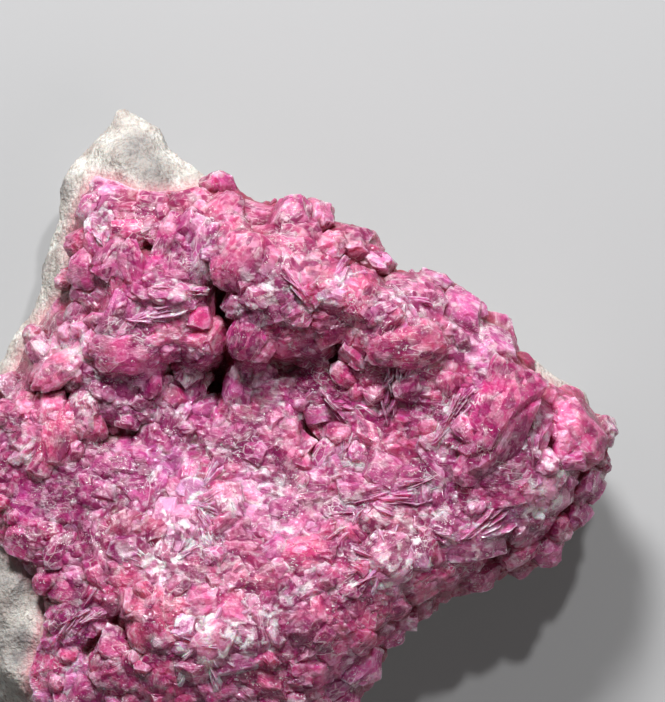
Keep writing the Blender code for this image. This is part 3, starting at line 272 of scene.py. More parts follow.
# Fans of thin splinters: plan place of the middle, nearest and farthest reach, bearings, how many, tone
FANS = [
    (19.6, 19.6, 0.6, 4.6, -120, 75, 32, "white"), (16.6, 13.6, 1.2, 3.4, 20, 200, 11, "white"),
    (34.0, 20.0, 1.5, 8.6, -12, 16, 21, "pale"), (12.6, 38.0, 0.5, 6.2, 4, 26, 11, "white"),
    (15.6, 41.6, 0.5, 4.2, -24, -4, 10, "pale"), (43.0, 25.0, 1.0, 8.2, 50, 66, 15, "lilac"),
    (38.6, 26.4, 2.0, 8.6, 68, 92, 17, "lilac"), (4.2, 5.4, 1.0, 7.4, 28, 48, 18, "lilac"),
    (20.4, 6.0, 0.4, 3.0, 0, 360, 18, "white"), (38.6, 14.2, 0.8, 3.2, 60, 250, 10, "white"),
    (33.2, 41.2, 0.2, 2.6, 30, 70, 7, "white"), (28.6, 42.8, 0.2, 2.4, -60, -35, 6, "pale"),
    (34.4, 24.6, 0.4, 2.4, 60, 100, 7, "white"), (9.6, 46.8, 0.2, 2.2, -60, -30, 6, "white"),
    (36.0, 18.8, 0.6, 3.0, 150, 260, 10, "cream"), (46.0, 16.4, 0.6, 4.4, 0, 40, 11, "pale"),
    (53.0, 23.6, 0.6, 4.6, 60, 90, 8, "pale"), (32.4, 30.8, 0.4, 3.6, -60, -30, 8, "lilac"),
    (24.8, 48.0, 0.4, 3.0, -10, 40, 6, "pale"), (40.6, 40.2, 0.6, 3.0, 0, 360, 10, "white"),
]

# Crystal forms, each a cube of half size 1 cut by planes: tilt from the growth axis, bearing, distance
FORMS = {
    "block": [(36, 90, 0.78), (36, 210, 0.78), (36, 330, 0.78), (80, 45, 1.12), (80, 225, 1.12)],
    "lens": [(20, 90, 0.86), (20, 270, 0.86), (50, 40, 0.92), (50, 140, 0.92), (50, 220, 0.92), (50, 320, 0.92)],
    "blade": [(50, 90, 0.6), (50, 270, 0.6), (62, 0, 0.8), (62, 180, 0.8)],
    "knob": [(8, 20, 0.96), (46, 60, 0.94), (46, 132, 0.94), (46, 204, 0.94), (46, 276, 0.94), (46, 348, 0.94)],
    "plate": [
        (10, 100, 0.84), (64, 0, 0.92), (64, 60, 0.88), (64, 120, 0.88), (64, 180, 0.92), (64, 240, 0.88),
        (64, 300, 0.88),
    ],
}
VARIANTS = 3
BEVEL = 0.04
LISTED_GROWTH = (1.14, 1.26)
LEAN_SHARE = 0.75
MOST_LEAN = math.radians(42)
TILT_SPREAD = math.radians(13)
TURN_SPREAD = math.radians(16)
ROOT_DEPTH = 1.1
SLENDEREST = 1.15
HIGHEST_TOP = 25.1
FILLER_SPACING = 2.0
BARE_EDGE = CRUST_OUTLINE[:27]
RIM_STEP = 2.4
RIM_CRYSTAL = 3.4
RIM_ROWS = [0.2, 1.9, 3.4]
BED_SPACING = 0.4
BED_SKIRT = 4.2
SKIRT_DRAW_IN = 0.95
BED_SINK = 0.3
BED_FEATHER = 3.0
TONE_SHARE = 0.55
CENTRE = Vector((28.5, 25.5))

LISTED = [(region, *row) for region, rows in CRYSTALS.items() for row in rows]


def distance_to_route(x, y, route):
    """Shortest plan distance from each place to a line through the route's points."""
    x, y = np.asarray(x, float)[..., None], np.asarray(y, float)[..., None]
    points = np.array(route, float)
    starts, along = points[:-1], points[1:] - points[:-1]
    share = (x - starts[:, 0]) * along[:, 0] + (y - starts[:, 1]) * along[:, 1]
    share = np.clip(share / (along ** 2).sum(axis=1), 0.0, 1.0)
    return np.hypot(x - starts[:, 0] - share * along[:, 0], y - starts[:, 1] - share * along[:, 1]).min(axis=-1)


def depth_inside(x, y, outline):
    """Distance of each place from the outline: above 0 inside it, below 0 outside."""
    x, y = np.asarray(x, float), np.asarray(y, float)
    closed = outline + outline[:1]
    ends = np.array(closed, float)
    (ax, ay), (bx, by) = ends[:-1].T, ends[1:].T
    crosses = (ay > y[..., None]) != (by > y[..., None])
    meets = ax + (y[..., None] - ay) * (bx - ax) / np.where(by == ay, 1.0, by - ay)
    inside = (crosses & (x[..., None] < meets)).sum(axis=-1) % 2 == 1
    distance = distance_to_route(x, y, closed)
    return np.where(inside, distance, -distance)


def smooth_step(value, low, high):
    """0 below low, 1 above high, and an even S between them."""
    share = np.clip((value - low) / (high - low), 0.0, 1.0)
    return share * share * (3.0 - 2.0 * share)


def broad_level(x, y):
    """Height of the face between the crystals, before the hollows are taken out."""
    x, y = np.asarray(x, float), np.asarray(y, float)
    mark_x, mark_y, level = np.array(LEVEL_MARKS).T
    apart = (x[..., None] - mark_x) ** 2 + (y[..., None] - mark_y) ** 2
    weight = np.exp(-apart / (2.0 * LEVEL_REACH ** 2)) + 1e-9
    roll_off = 1.0 - smooth_step(depth_inside(x, y, MATRIX_OUTLINE), 0.0, RIM_WIDTH)
    return (weight * level).sum(axis=-1) / weight.sum(axis=-1) - RIM_DROP * roll_off


def face_level(x, y):
    """Height of the face between the crystals, with its hollows."""
    x, y = np.asarray(x, float), np.asarray(y, float)
    level = broad_level(x, y)
    for route, half_width, depth in HOLLOWS:
        level = level - depth * np.exp(-(distance_to_route(x, y, route) / half_width) ** 2 * 0.7)
    return level


def mass_level(x, y):
    """Height of the mass that the crystals are grown into: a little under the tops of those nearby."""
    x, y = np.asarray(x, float), np.asarray(y, float)
    floor = face_level(x, y)
    sunk = broad_level(x, y) - floor
    mark_x, mark_y, top, length, width = np.array([row[1:6] for row in LISTED]).T
    apart = (x[..., None] - mark_x) ** 2 + (y[..., None] - mark_y) ** 2
    weight = np.exp(-apart / (0.5 * length * width))
    near_top = ((weight * top).sum(axis=-1) + 0.02 * (floor + sunk + 0.8)) / (weight.sum(axis=-1) + 0.02)
    raised = np.maximum(near_top - BED_SINK - 0.8 * sunk, floor)
    share = smooth_step(depth_inside(x, y, CRUST_OUTLINE), 0.0, BED_FEATHER)
    return floor + (raised - floor) * share


def apply_modifiers(piece):
    """Every modifier of the piece applied in order."""
    bpy.ops.object.select_all(action="DESELECT")
    bpy.context.view_layer.objects.active = piece
    piece.select_set(True)
    for name in [m.name for m in piece.modifiers]:
        bpy.ops.object.modifier_apply(modifier=name)


def wave_texture(name, kind, size, **settings):
    """A procedural texture for displacement."""
    texture = bpy.data.textures.new(name, kind)
    texture.noise_scale = size
    for key, value in settings.items():
        setattr(texture, key, value)
    return texture


def cut_crystal(name, planes, draw, rounded=False):
    """One closed crystal: a cube cut by the form's planes in edit mode, its edges taken off."""
    bpy.ops.object.select_all(action="DESELECT")
    if rounded:
        bpy.ops.mesh.primitive_ico_sphere_add(subdivisions=1, radius=1.14)
    else:
        bpy.ops.mesh.primitive_cube_add(size=2.0)
    piece = bpy.context.object
    piece.name = name
    bpy.ops.object.mode_set(mode="EDIT")
    for tilt, bearing, reach in planes:
        tilt_angle = math.radians(tilt + draw.uniform(-5.0, 5.0))
        bearing_angle = math.radians(bearing + draw.uniform(-10.0, 10.0))
        normal = Vector((
            math.sin(tilt_angle) * math.cos(bearing_angle),
            math.sin(tilt_angle) * math.sin(bearing_angle),
            math.cos(tilt_angle),
        ))
        bpy.ops.mesh.select_all(action="SELECT")
        place = normal * reach * draw.uniform(0.95, 1.03)
        bpy.ops.mesh.bisect(plane_co=place, plane_no=normal, use_fill=True, clear_outer=True)
    for _ in range(5):
        normal = Vector((draw.uniform(-1.0, 1.0), draw.uniform(-1.0, 1.0), draw.uniform(0.1, 0.9))).normalized()
        bpy.ops.mesh.select_all(action="SELECT")
        place = normal * draw.uniform(0.72, 0.96)
        bpy.ops.mesh.bisect(plane_co=place, plane_no=normal, use_fill=True, clear_outer=True)
    if not rounded:
        bpy.ops.mesh.select_all(action="SELECT")
        bpy.ops.mesh.bevel(offset=BEVEL, segments=2, profile=0.6)
    bpy.ops.object.mode_set(mode="OBJECT")
    return piece


def join_bodies(pieces, name):
    """One closed body from overlapping ones."""
    target = pieces[0]
    others = bpy.data.collections.new(name)
    bpy.context.scene.collection.children.link(others)
    for piece in pieces[1:]:
        for holder in list(piece.users_collection):
            holder.objects.unlink(piece)
        others.objects.link(piece)
    union = target.modifiers.new("union", "BOOLEAN")
    union.operation = "UNION"
    union.operand_type = "COLLECTION"
    union.collection = others
    union.solver = "MANIFOLD"
    apply_modifiers(target)
    for piece in list(others.objects):
        spent = piece.data
        bpy.data.objects.remove(piece)
        bpy.data.meshes.remove(spent)
    bpy.data.collections.remove(others)
    target.name = name
    return target


def make_prototype(form, variant, cells, draw):
    """A crystal with its parallel growth steps, striae and stepped faces, in a box of half size 1."""
    name = f"{form}_{variant}_{cells}"
    rounded = form in ("knob", "lens")
    main = cut_crystal(name, FORMS[form], draw, rounded)
    parts = [main]
    for number in range(3 if form != "plate" else 4):
        shoulder = cut_crystal(f"{name}_step_{number}", FORMS[form], draw, rounded)
        share = draw.uniform(0.5, 0.78)
        bearing = draw.uniform(0.0, 2.0 * math.pi)
        reach = 0.86 - share * 0.62
        shape = (
            Matrix.Translation((math.cos(bearing) * reach, math.sin(bearing) * reach, draw.uniform(-0.2, 0.28)))
            @ Matrix.Rotation(draw.uniform(-0.2, 0.2), 4, "Z")
            @ Matrix.Rotation(draw.uniform(-0.14, 0.14), 4, "X")
            @ Matrix.Diagonal((share, share, draw.uniform(0.55, 0.8), 1.0))
        )
        shoulder.data.transform(shape)
        parts.append(shoulder)
    piece = join_bodies(parts, name)
    mesher = piece.modifiers.new("cells", "REMESH")
    mesher.mode = "SHARP"
    mesher.octree_depth = 5
    mesher.scale = cells / 32.0
    mesher.use_remove_disconnected = True
    stretch = bpy.data.objects.new("stretch", None)
    bpy.context.scene.collection.objects.link(stretch)
    stretch.scale = (3.0, 0.5, 0.5)
    stretch.rotation_euler = (0.0, draw.uniform(-0.3, 0.3), draw.uniform(-0.3, 0.3))
    stretch.location = [draw.uniform(-5.0, 5.0) for _ in range(3)]
    bpy.context.view_layer.update()
    steps = piece.modifiers.new("steps", "DISPLACE")
    steps.texture = wave_texture(
        "mosaic", "VORONOI", draw.uniform(0.5, 0.8), distance_metric="CHEBYCHEV", color_mode="POSITION")
    steps.texture_coords = "OBJECT"
    steps.texture_coords_object = stretch
    steps.strength = 0.1
    steps.mid_level = 0.5
    striae = piece.modifiers.new("striae", "DISPLACE")
    striae.texture = wave_texture("striae", "CLOUDS", 0.3)
    striae.texture_coords = "OBJECT"
    striae.texture_coords_object = stretch
    striae.strength = 0.07
    apply_modifiers(piece)
    bpy.data.objects.remove(stretch)
    return piece


def bed_facts(x, y):
    """Root level, slope along X and slope along Y of the bed at plan places."""
    step = 1.5
    slope_x = (broad_level(x + step, y) - broad_level(x - step, y)) / (2.0 * step)
    slope_y = (broad_level(x, y + step) - broad_level(x, y - step)) / (2.0 * step)
    return np.stack([mass_level(x, y), slope_x, slope_y], axis=-1)


def crystal_placing(prototype, place, facts, draw, steady=1.0):
    """Matrix and rotation of one crystal at its place on the bed, leaning with the bed's slope."""
    x, y, top, length, width, turn = place
    slope = Vector((float(facts[1]), float(facts[2])))
    lean = min(LEAN_SHARE * math.atan(slope.length), MOST_LEAN)
    root = float(facts[0]) - ROOT_DEPTH
    top = min(top, root + SLENDEREST * length, HIGHEST_TOP)
    height = max(top - root, 0.7 * width)
    shape = Matrix.Diagonal((length / 2.0, width / 2.0, height / 2.0, 1.0))
    turned = Matrix.Rotation(math.radians(turn) + draw.uniform(-TURN_SPREAD, TURN_SPREAD), 4, "Z")
    across_slope = Vector((slope.y, -slope.x, 0.0)) if slope.length > 1e-6 else Vector((1.0, 0.0, 0.0))
    leaned = Matrix.Rotation(lean, 4, across_slope)
    spread = TILT_SPREAD * steady
    tilted = Matrix.Rotation(draw.uniform(-spread, spread), 4, "X") @ Matrix.Rotation(draw.uniform(-spread, spread), 4, "Y")
    rotation = leaned @ turned @ tilted
    shaped = rotation @ shape
    highest = (mesh_points(prototype.data) @ np.array(shaped)[2, :3]).max()
    return Matrix.Translation((x, y, top - highest)) @ shaped, rotation


def mesh_points(mesh):
    """The mesh's corners as an array."""
    points = np.empty(len(mesh.vertices) * 3, np.float32)
    mesh.vertices.foreach_get("co", points)
    return points.reshape(-1, 3)


class Growth:
    """The crystals that will be joined in one region, with what each is coloured and striated by."""

    def __init__(self, name):
        self.name = name
        self.pieces = []

    def add(self, prototype, placing, number):
        """A copy of the prototype with a mesh of its own, at its place."""
        mesh = prototype.data.copy()
        mesh.transform(placing)
        for old in list(mesh.attributes):
            if old.name == "crystal":
                mesh.attributes.remove(old)
        mark = mesh.attributes.new("crystal", "INT", "FACE")
        mark.data.foreach_set("value", np.full(len(mesh.polygons), number, np.int32))
        piece = bpy.data.objects.new(f"{self.name}_{len(self.pieces):03d}", mesh)
        bpy.context.scene.collection.objects.link(piece)
        self.pieces.append(piece)


def tone_colour(tone, draw, spread=0.1):
    """A crystal's own shade of its tone: linear RGB."""
    lighter = 1.0 + draw.uniform(-spread, spread)
    warmer = draw.uniform(-0.5, 0.5) * spread
    shades = []
    for channel, shift in zip(TONES[tone], (1.0 + warmer, 1.0, 1.0 - warmer)):
        share = min(channel / 255.0 * lighter * shift, 1.0)
        shades.append(((share + 0.055) / 1.055) ** 2.4)
    return shades


def plan_stations(route, step):
    """Plan places a step apart along a route."""
    places = []
    left_over = step / 2.0
    for start, end in zip(route, route[1:]):
        along = Vector(end) - Vector(start)
        while left_over < along.length:
            places.append(Vector(start) + along.normalized() * left_over)
            left_over += step
        left_over -= along.length
    return places


FROST = {
    "crimson": 0.0, "deep": 0.05, "magenta": 0.12, "violet": 0.2, "rose": 0.25, "salmon": 0.2, "lilac": 0.4,
    "pale": 0.6, "white": 0.95, "cream": 0.8, "tan": 0.5,
}


def nearest_listed(x, y):
    """The listed crystal whose own ellipse is closest to a plan place."""
    best, nearest = None, math.inf
    for row in LISTED:
        _, cx, cy, _, length, width, turn, _, _ = row
        angle = math.radians(turn)
        along = ((x - cx) * math.cos(angle) + (y - cy) * math.sin(angle)) / length
        across = ((y - cy) * math.cos(angle) - (x - cx) * math.sin(angle)) / width
        distance = math.hypot(along, across)
        if distance < nearest:
            best, nearest = row, distance
    return best, nearest


def nearby_colour(x, y):
    """The mean colour of the listed crystals round a plan place: linear RGB."""
    weights = np.exp(-((LISTED_PLACES[:, 0] - x) ** 2 + (LISTED_PLACES[:, 1] - y) ** 2) / (2.0 * 4.0 ** 2))
    return (weights[:, None] * LISTED_SHADES).sum(axis=0) / weights.sum()


def linear(tone):
    """A tone's colour: linear RGB."""
    return [((channel / 255.0 + 0.055) / 1.055) ** 2.4 for channel in TONES[tone]]


LISTED_PLACES = np.array([row[1:3] for row in LISTED])
LISTED_SHADES = np.array([linear(row[8]) for row in LISTED])


def grow_all(prototypes, draw):
    """Every crystal of the druse, by region, with each one's middle, rotation and colour."""
    growths = {region: Growth(region) for region in CRYSTALS}
    middles, rotations, colours = [], [], []

    def place_one(region, form, size_class, placing, rotation, tone, frost_shift=0.0):
        number = len(middles)
        growths[region].add(draw.choice(prototypes[form, size_class]), placing, number)
        middles.append(placing.translation[:])
        rotations.append(np.array(rotation)[:3, :3])
        frost = min(max(FROST[tone] + frost_shift, 0.0), 1.0)
        own = np.array(tone_colour(tone, draw))
        around = nearby_colour(placing.translation.x, placing.translation.y)
        colours.append((*(TONE_SHARE * own + (1.0 - TONE_SHARE) * around), frost))

    facts = bed_facts(*np.array([row[1:3] for row in LISTED]).T)
    for (region, x, y, top, length, width, turn, form, tone), fact in zip(LISTED, facts):
        size_class = "large" if length >= 4.4 else "middle"
        stand_in = prototypes[form, size_class][0]
        spot = (x, y, top, length * LISTED_GROWTH[0], width * LISTED_GROWTH[1], turn)
        placing, rotation = crystal_placing(stand_in, spot, fact, draw)
        place_one(region, form, size_class, placing, rotation, tone)

    low_x, high_x = -6.0, 62.0
    low_y, high_y = -6.0, 53.0
    row_height = FILLER_SPACING * math.sqrt(3.0) / 2.0
    spots = []
    for row in range(int((high_y - low_y) / row_height) + 1):
        for column in range(int((high_x - low_x) / FILLER_SPACING) + 1):
            x = low_x + (column + 0.5 * (row % 2)) * FILLER_SPACING + draw.uniform(-0.5, 0.5) * FILLER_SPACING
            spots.append((x, low_y + row * row_height + draw.uniform(-0.5, 0.5) * FILLER_SPACING))
    spots = np.array(spots)
    to_bare_edge = distance_to_route(spots[:, 0], spots[:, 1], BARE_EDGE)
    spots = spots[(depth_inside(spots[:, 0], spots[:, 1], CRUST_OUTLINE) > 0.2) & (to_bare_edge > 1.5)]
    sinks = broad_level(*spots.T) - face_level(*spots.T)
    for (x, y), fact, sunk in zip(spots.tolist(), bed_facts(*spots.T), sinks):
        listed, distance = nearest_listed(x, y)
        if distance < 0.4 or (sunk > 1.6 and draw.random() < 0.6):
            continue
        length = draw.uniform(2.2, 4.8) * (0.7 if sunk > 1.2 else 1.0)
        top = float(fact[0]) + draw.uniform(0.1, 0.85) * (0.6 if sunk > 1.2 else 1.0)
        form = draw.choice(["block", "block", "knob", "lens", "blade"])
        spot = (x, y, top, length, length * draw.uniform(0.6, 0.95), listed[6] + draw.gauss(0.0, 40.0))
        placing, rotation = crystal_placing(prototypes[form, "small"][0], spot, fact, draw, steady=2.8)
        tone = listed[8] if draw.random() < 0.7 else draw.choice(["rose", "magenta", "deep", "violet", "lilac", "pale"])
        place_one(listed[0], form, "small", placing, rotation, tone, draw.uniform(-0.2, 0.15))

    for x, y, nearest, farthest, first, last, count, tone in FANS:
        for _ in range(count):
            bearing = math.radians(draw.uniform(first, last))
            reach = draw.uniform(nearest, farthest)
            at_x, at_y = x + reach * math.cos(bearing), y + reach * math.sin(bearing)
            fact = bed_facts(np.array(at_x), np.array(at_y))
            length = draw.uniform(2.2, 4.4)
            top = float(fact[0]) + draw.uniform(0.25, 0.7)
            spot = (at_x, at_y, top, length, draw.uniform(0.5, 0.95), math.degrees(bearing))
            placing, rotation = crystal_placing(prototypes["blade", "small"][0], spot, fact, draw, steady=0.5)
            region = nearest_listed(at_x, at_y)[0][0]
            place_one(region, "blade", "small", placing, rotation, tone, draw.uniform(-0.2, 0.1))

    for route in OVERHANGS:
        for drop in RIM_ROWS:
            for place in plan_stations(route, RIM_STEP * draw.uniform(0.9, 1.1)):
                form = draw.choice(["block", "knob", "block"])
                half = RIM_CRYSTAL / 2.0
                size = [draw.uniform(0.55, 1.1) * half, draw.uniform(0.5, 1.0) * half, draw.uniform(0.6, 0.95) * half]
                away = place - CENTRE
                lean = Matrix.Rotation(math.radians(draw.uniform(52.0, 92.0)), 4, Vector((-away.y, away.x, 0.0)))
                turned = Matrix.Rotation(draw.uniform(0.0, math.pi), 4, "Z")
                middle = CENTRE + away * (1.0 - (0.62 + 0.1 * drop) * half / away.length)
                level = float(face_level(place.x, place.y)) - 0.6 - drop * draw.uniform(0.8, 1.1)
                rotation = lean @ turned
                placing = Matrix.Translation((middle.x, middle.y, level)) @ rotation @ Matrix.Diagonal((*size, 1.0))
                listed, _ = nearest_listed(middle.x, middle.y)
                tone = listed[8] if draw.random() < 0.5 else draw.choice(["rose", "lilac", "pale", "magenta"])
                place_one(listed[0], form, "small" if draw.random() < 0.6 else "middle", placing, rotation, tone)
    return growths, np.array(middles), np.array(rotations), np.array(colours)


def convexity(mesh):
    """How far each corner stands out from its neighbours: above 0 on edges, below 0 in grooves."""
    points = mesh_points(mesh)
    normals = np.empty(len(points) * 3, np.float32)
    mesh.vertices.foreach_get("normal", normals)
    normals = normals.reshape(-1, 3)
    ends = np.empty(len(mesh.edges) * 2, np.int32)
    mesh.edges.foreach_get("vertices", ends)
    first, second = ends.reshape(-1, 2).T
    apart = points[second] - points[first]
    length = np.maximum(np.linalg.norm(apart, axis=1), 1e-6)
    rise_first = -(normals[first] * apart).sum(axis=1) / length
    rise_second = (normals[second] * apart).sum(axis=1) / length
    count = np.bincount(first, minlength=len(points)) + np.bincount(second, minlength=len(points))
    total = np.bincount(first, rise_first, len(points)) + np.bincount(second, rise_second, len(points))
    value = total / np.maximum(count, 1)
    for _ in range(2):
        spread = np.bincount(first, value[second], len(points)) + np.bincount(second, value[first], len(points))
        value = 0.5 * value + 0.5 * spread / np.maximum(count, 1)
    return value


class HeightMap:
    """Highest surface over each plan cell, for how open to the light a place is."""

    CELL = 0.4
    LOW = (-9.0, -9.0)
    SIZE = (190, 180)

    def __init__(self, point_sets):
        self.grid = np.full(self.SIZE, -5.0)
        for points in point_sets:
            np.maximum.at(self.grid, self.cells(points[:, 0], points[:, 1]), points[:, 2])

    def cells(self, x, y):
        """Cell numbers of plan places."""
        column = np.clip(((x - self.LOW[0]) / self.CELL).astype(int), 0, self.SIZE[0] - 1)
        row = np.clip(((y - self.LOW[1]) / self.CELL).astype(int), 0, self.SIZE[1] - 1)
        return column, row

    def openness(self, points):
        """Share of the sky that each place sees, from the steepest rise round it in each direction."""
        total = np.zeros(len(points))
        bearings = np.linspace(0.0, 2.0 * math.pi, 10, endpoint=False)
        for bearing in bearings:
            steepest = np.zeros(len(points))
            for reach in (0.6, 1.1, 1.8, 2.8, 4.2):
                x = points[:, 0] + reach * math.cos(bearing)
                y = points[:, 1] + reach * math.sin(bearing)
                steepest = np.maximum(steepest, (self.grid[self.cells(x, y)] - points[:, 2]) / reach)
            total += 1.0 / np.sqrt(1.0 + steepest ** 2)
        return total / len(bearings)


def set_attribute(mesh, name, kind, domain, values):
    """A named attribute from an array."""
    old = mesh.attributes.get(name)
    if old:
        mesh.attributes.remove(old)
    made = mesh.attributes.new(name, kind, domain)
    field = {"FLOAT": "value", "FLOAT_VECTOR": "vector", "FLOAT_COLOR": "color"}[kind]
    made.data.foreach_set(field, np.ascontiguousarray(values, np.float32).ravel())


def mark_crystals(piece, middles, rotations, colours):
    """Each face corner's colour and its place along its own crystal."""
    mesh = piece.data
    crystal = np.empty(len(mesh.polygons), np.int32)
    mesh.attributes["crystal"].data.foreach_get("value", crystal)
    corners = np.empty(len(mesh.loops), np.int32)
    mesh.loops.foreach_get("vertex_index", corners)
    sides = np.empty(len(mesh.polygons), np.int32)
    mesh.polygons.foreach_get("loop_total", sides)
    owner = np.repeat(crystal, sides)
    away = mesh_points(mesh)[corners] - middles[owner]
    along = np.einsum("nji,nj->ni", rotations[owner], away)
    along += (owner[:, None] * np.array([3.7, 5.3, 7.9])) % 50.0
    set_attribute(mesh, "tint", "FLOAT_COLOR", "CORNER", colours[owner])
    set_attribute(mesh, "along", "FLOAT_VECTOR", "CORNER", along)


def join_region(growth):
    """One closed piece from a region's crystals, its surface slightly uneven."""
    piece = join_bodies(growth.pieces, growth.name)
    soften = piece.modifiers.new("soften", "SMOOTH")
    soften.factor = 0.25
    soften.iterations = 1
    uneven = piece.modifiers.new("uneven", "DISPLACE")
    uneven.texture = wave_texture("growth_uneven", "CLOUDS", 0.8)
    uneven.strength = 0.09
    apply_modifiers(piece)
    return piece


def make_bed(draw):
    """The closed bed under the crystals."""
    from mathutils.geometry import delaunay_2d_cdt
    rim = []
    closed = CRUST_OUTLINE + CRUST_OUTLINE[:1]
    for start, end in zip(closed, closed[1:]):
        along = Vector(end) - Vector(start)
        pieces = max(int(along.length / BED_SPACING), 1)
        rim += [Vector(start) + along * number / pieces for number in range(pieces)]
    inner = []
    for row in range(int(64.0 / BED_SPACING)):
        for column in range(int(72.0 / BED_SPACING)):
            x = -8.0 + (column + draw.uniform(-0.35, 0.35)) * BED_SPACING
            y = -8.0 + (row + draw.uniform(-0.35, 0.35)) * BED_SPACING
            inner.append((x, y))
    inner = np.array(inner)
    keep = depth_inside(inner[:, 0], inner[:, 1], CRUST_OUTLINE) > 0.5 * BED_SPACING
    inner = [Vector(point) for point in inner[keep]]
    points, _, faces, _, _, _ = delaunay_2d_cdt(rim + inner, [], [list(range(len(rim)))], 1, 1e-6)
    plan = np.array([point[:] for point in points])
    levels = mass_level(plan[:, 0], plan[:, 1])
    body = bmesh.new()
    corners = [body.verts.new((x, y, z + draw.uniform(-0.12, 0.12))) for (x, y), z in zip(plan, levels)]
    for face in faces:
        body.faces.new([corners[index] for index in face])
    made = bmesh.ops.extrude_face_region(body, geom=body.faces[:])["geom"]
    lowered = [item for item in made if isinstance(item, bmesh.types.BMVert)]
    bmesh.ops.translate(body, vec=(0.0, 0.0, -BED_SKIRT), verts=lowered)
    about_centre = Matrix.Translation((-CENTRE.x, -CENTRE.y, 0.0))
    bmesh.ops.scale(body, vec=(SKIRT_DRAW_IN, SKIRT_DRAW_IN, 1.0), verts=lowered, space=about_centre)
    bmesh.ops.recalc_face_normals(body, faces=body.faces[:])
    mesh = bpy.data.meshes.new("druse_bed")
    body.to_mesh(mesh)
    body.free()
    piece = bpy.data.objects.new("druse_bed", mesh)
    bpy.context.scene.collection.objects.link(piece)
    steps = piece.modifiers.new("steps", "DISPLACE")
    steps.texture = wave_texture("bed_steps", "VORONOI", 1.5, distance_metric="CHEBYCHEV", color_mode="POSITION")
    steps.strength = 0.7
    apply_modifiers(piece)
    return piece


def colour_bed(piece, colours):
    """The bed's colour from the crystals near each place."""
    mesh = piece.data
    corners = np.empty(len(mesh.loops), np.int32)
    mesh.loops.foreach_get("vertex_index", corners)
    points = mesh_points(mesh)
    numbers = {id(row): number for number, row in enumerate(LISTED)}
    shades = np.array([colours[numbers[id(nearest_listed(x, y)[0])]] for x, y, _ in points])
    set_attribute(mesh, "tint", "FLOAT_COLOR", "CORNER", shades[corners])
    set_attribute(mesh, "along", "FLOAT_VECTOR", "CORNER", points[corners])


def make_rock(shift):
    """The rock from the frame's own, with a finer broken surface above its flat back."""
    source = frame["nodes"]["matrix"]
    mesh = source.data.copy()
    piece = bpy.data.objects.new("rock", mesh)
    bpy.context.scene.collection.objects.link(piece)
    piece.matrix_world = source.matrix_world
    bpy.ops.object.select_all(action="DESELECT")
    bpy.context.view_layer.objects.active = piece
    piece.select_set(True)
    bpy.ops.object.transform_apply(location=True, rotation=True, scale=True)
    mesh.transform(Matrix.Scale(1.0 / MM, 4))
    bpy.ops.object.mode_set(mode="EDIT")
    bpy.ops.mesh.select_all(action="SELECT")
    bpy.ops.mesh.remove_doubles(threshold=0.001)
    bpy.ops.object.mode_set(mode="OBJECT")
    mesher = piece.modifiers.new("cells", "REMESH")
    mesher.mode = "VOXEL"
    mesher.voxel_size = 0.56
    apply_modifiers(piece)
    points = mesh_points(piece.data)
    raised = piece.vertex_groups.new(name="above_the_back")
    for index, height in enumerate(points[:, 2]):
        raised.add([index], float(np.clip((height - 0.5) / 1.5, 0.0, 1.0)), "REPLACE")
    for name, size, strength, kind in (("lumps", 2.6, 0.7, "CLOUDS"), ("grit", 0.8, 0.34, "CLOUDS")):
        rough = piece.modifiers.new(name, "DISPLACE")
        rough.texture = wave_texture(name, kind, size)
        rough.strength = strength
        rough.mid_level = 0.55
        rough.vertex_group = "above_the_back"
    apply_modifiers(piece)
    points = mesh_points(piece.data)
    low = points[:, 2] < 0.4
    points[low, 2] = np.minimum(points[low, 2], 0.02)
    points[points[:, 2] < 0.0, 2] = 0.0
    piece.data.vertices.foreach_set("co", points.ravel())
    piece.data.transform(Matrix.Translation((-shift[0], -shift[1], 0.0)))
    return piece


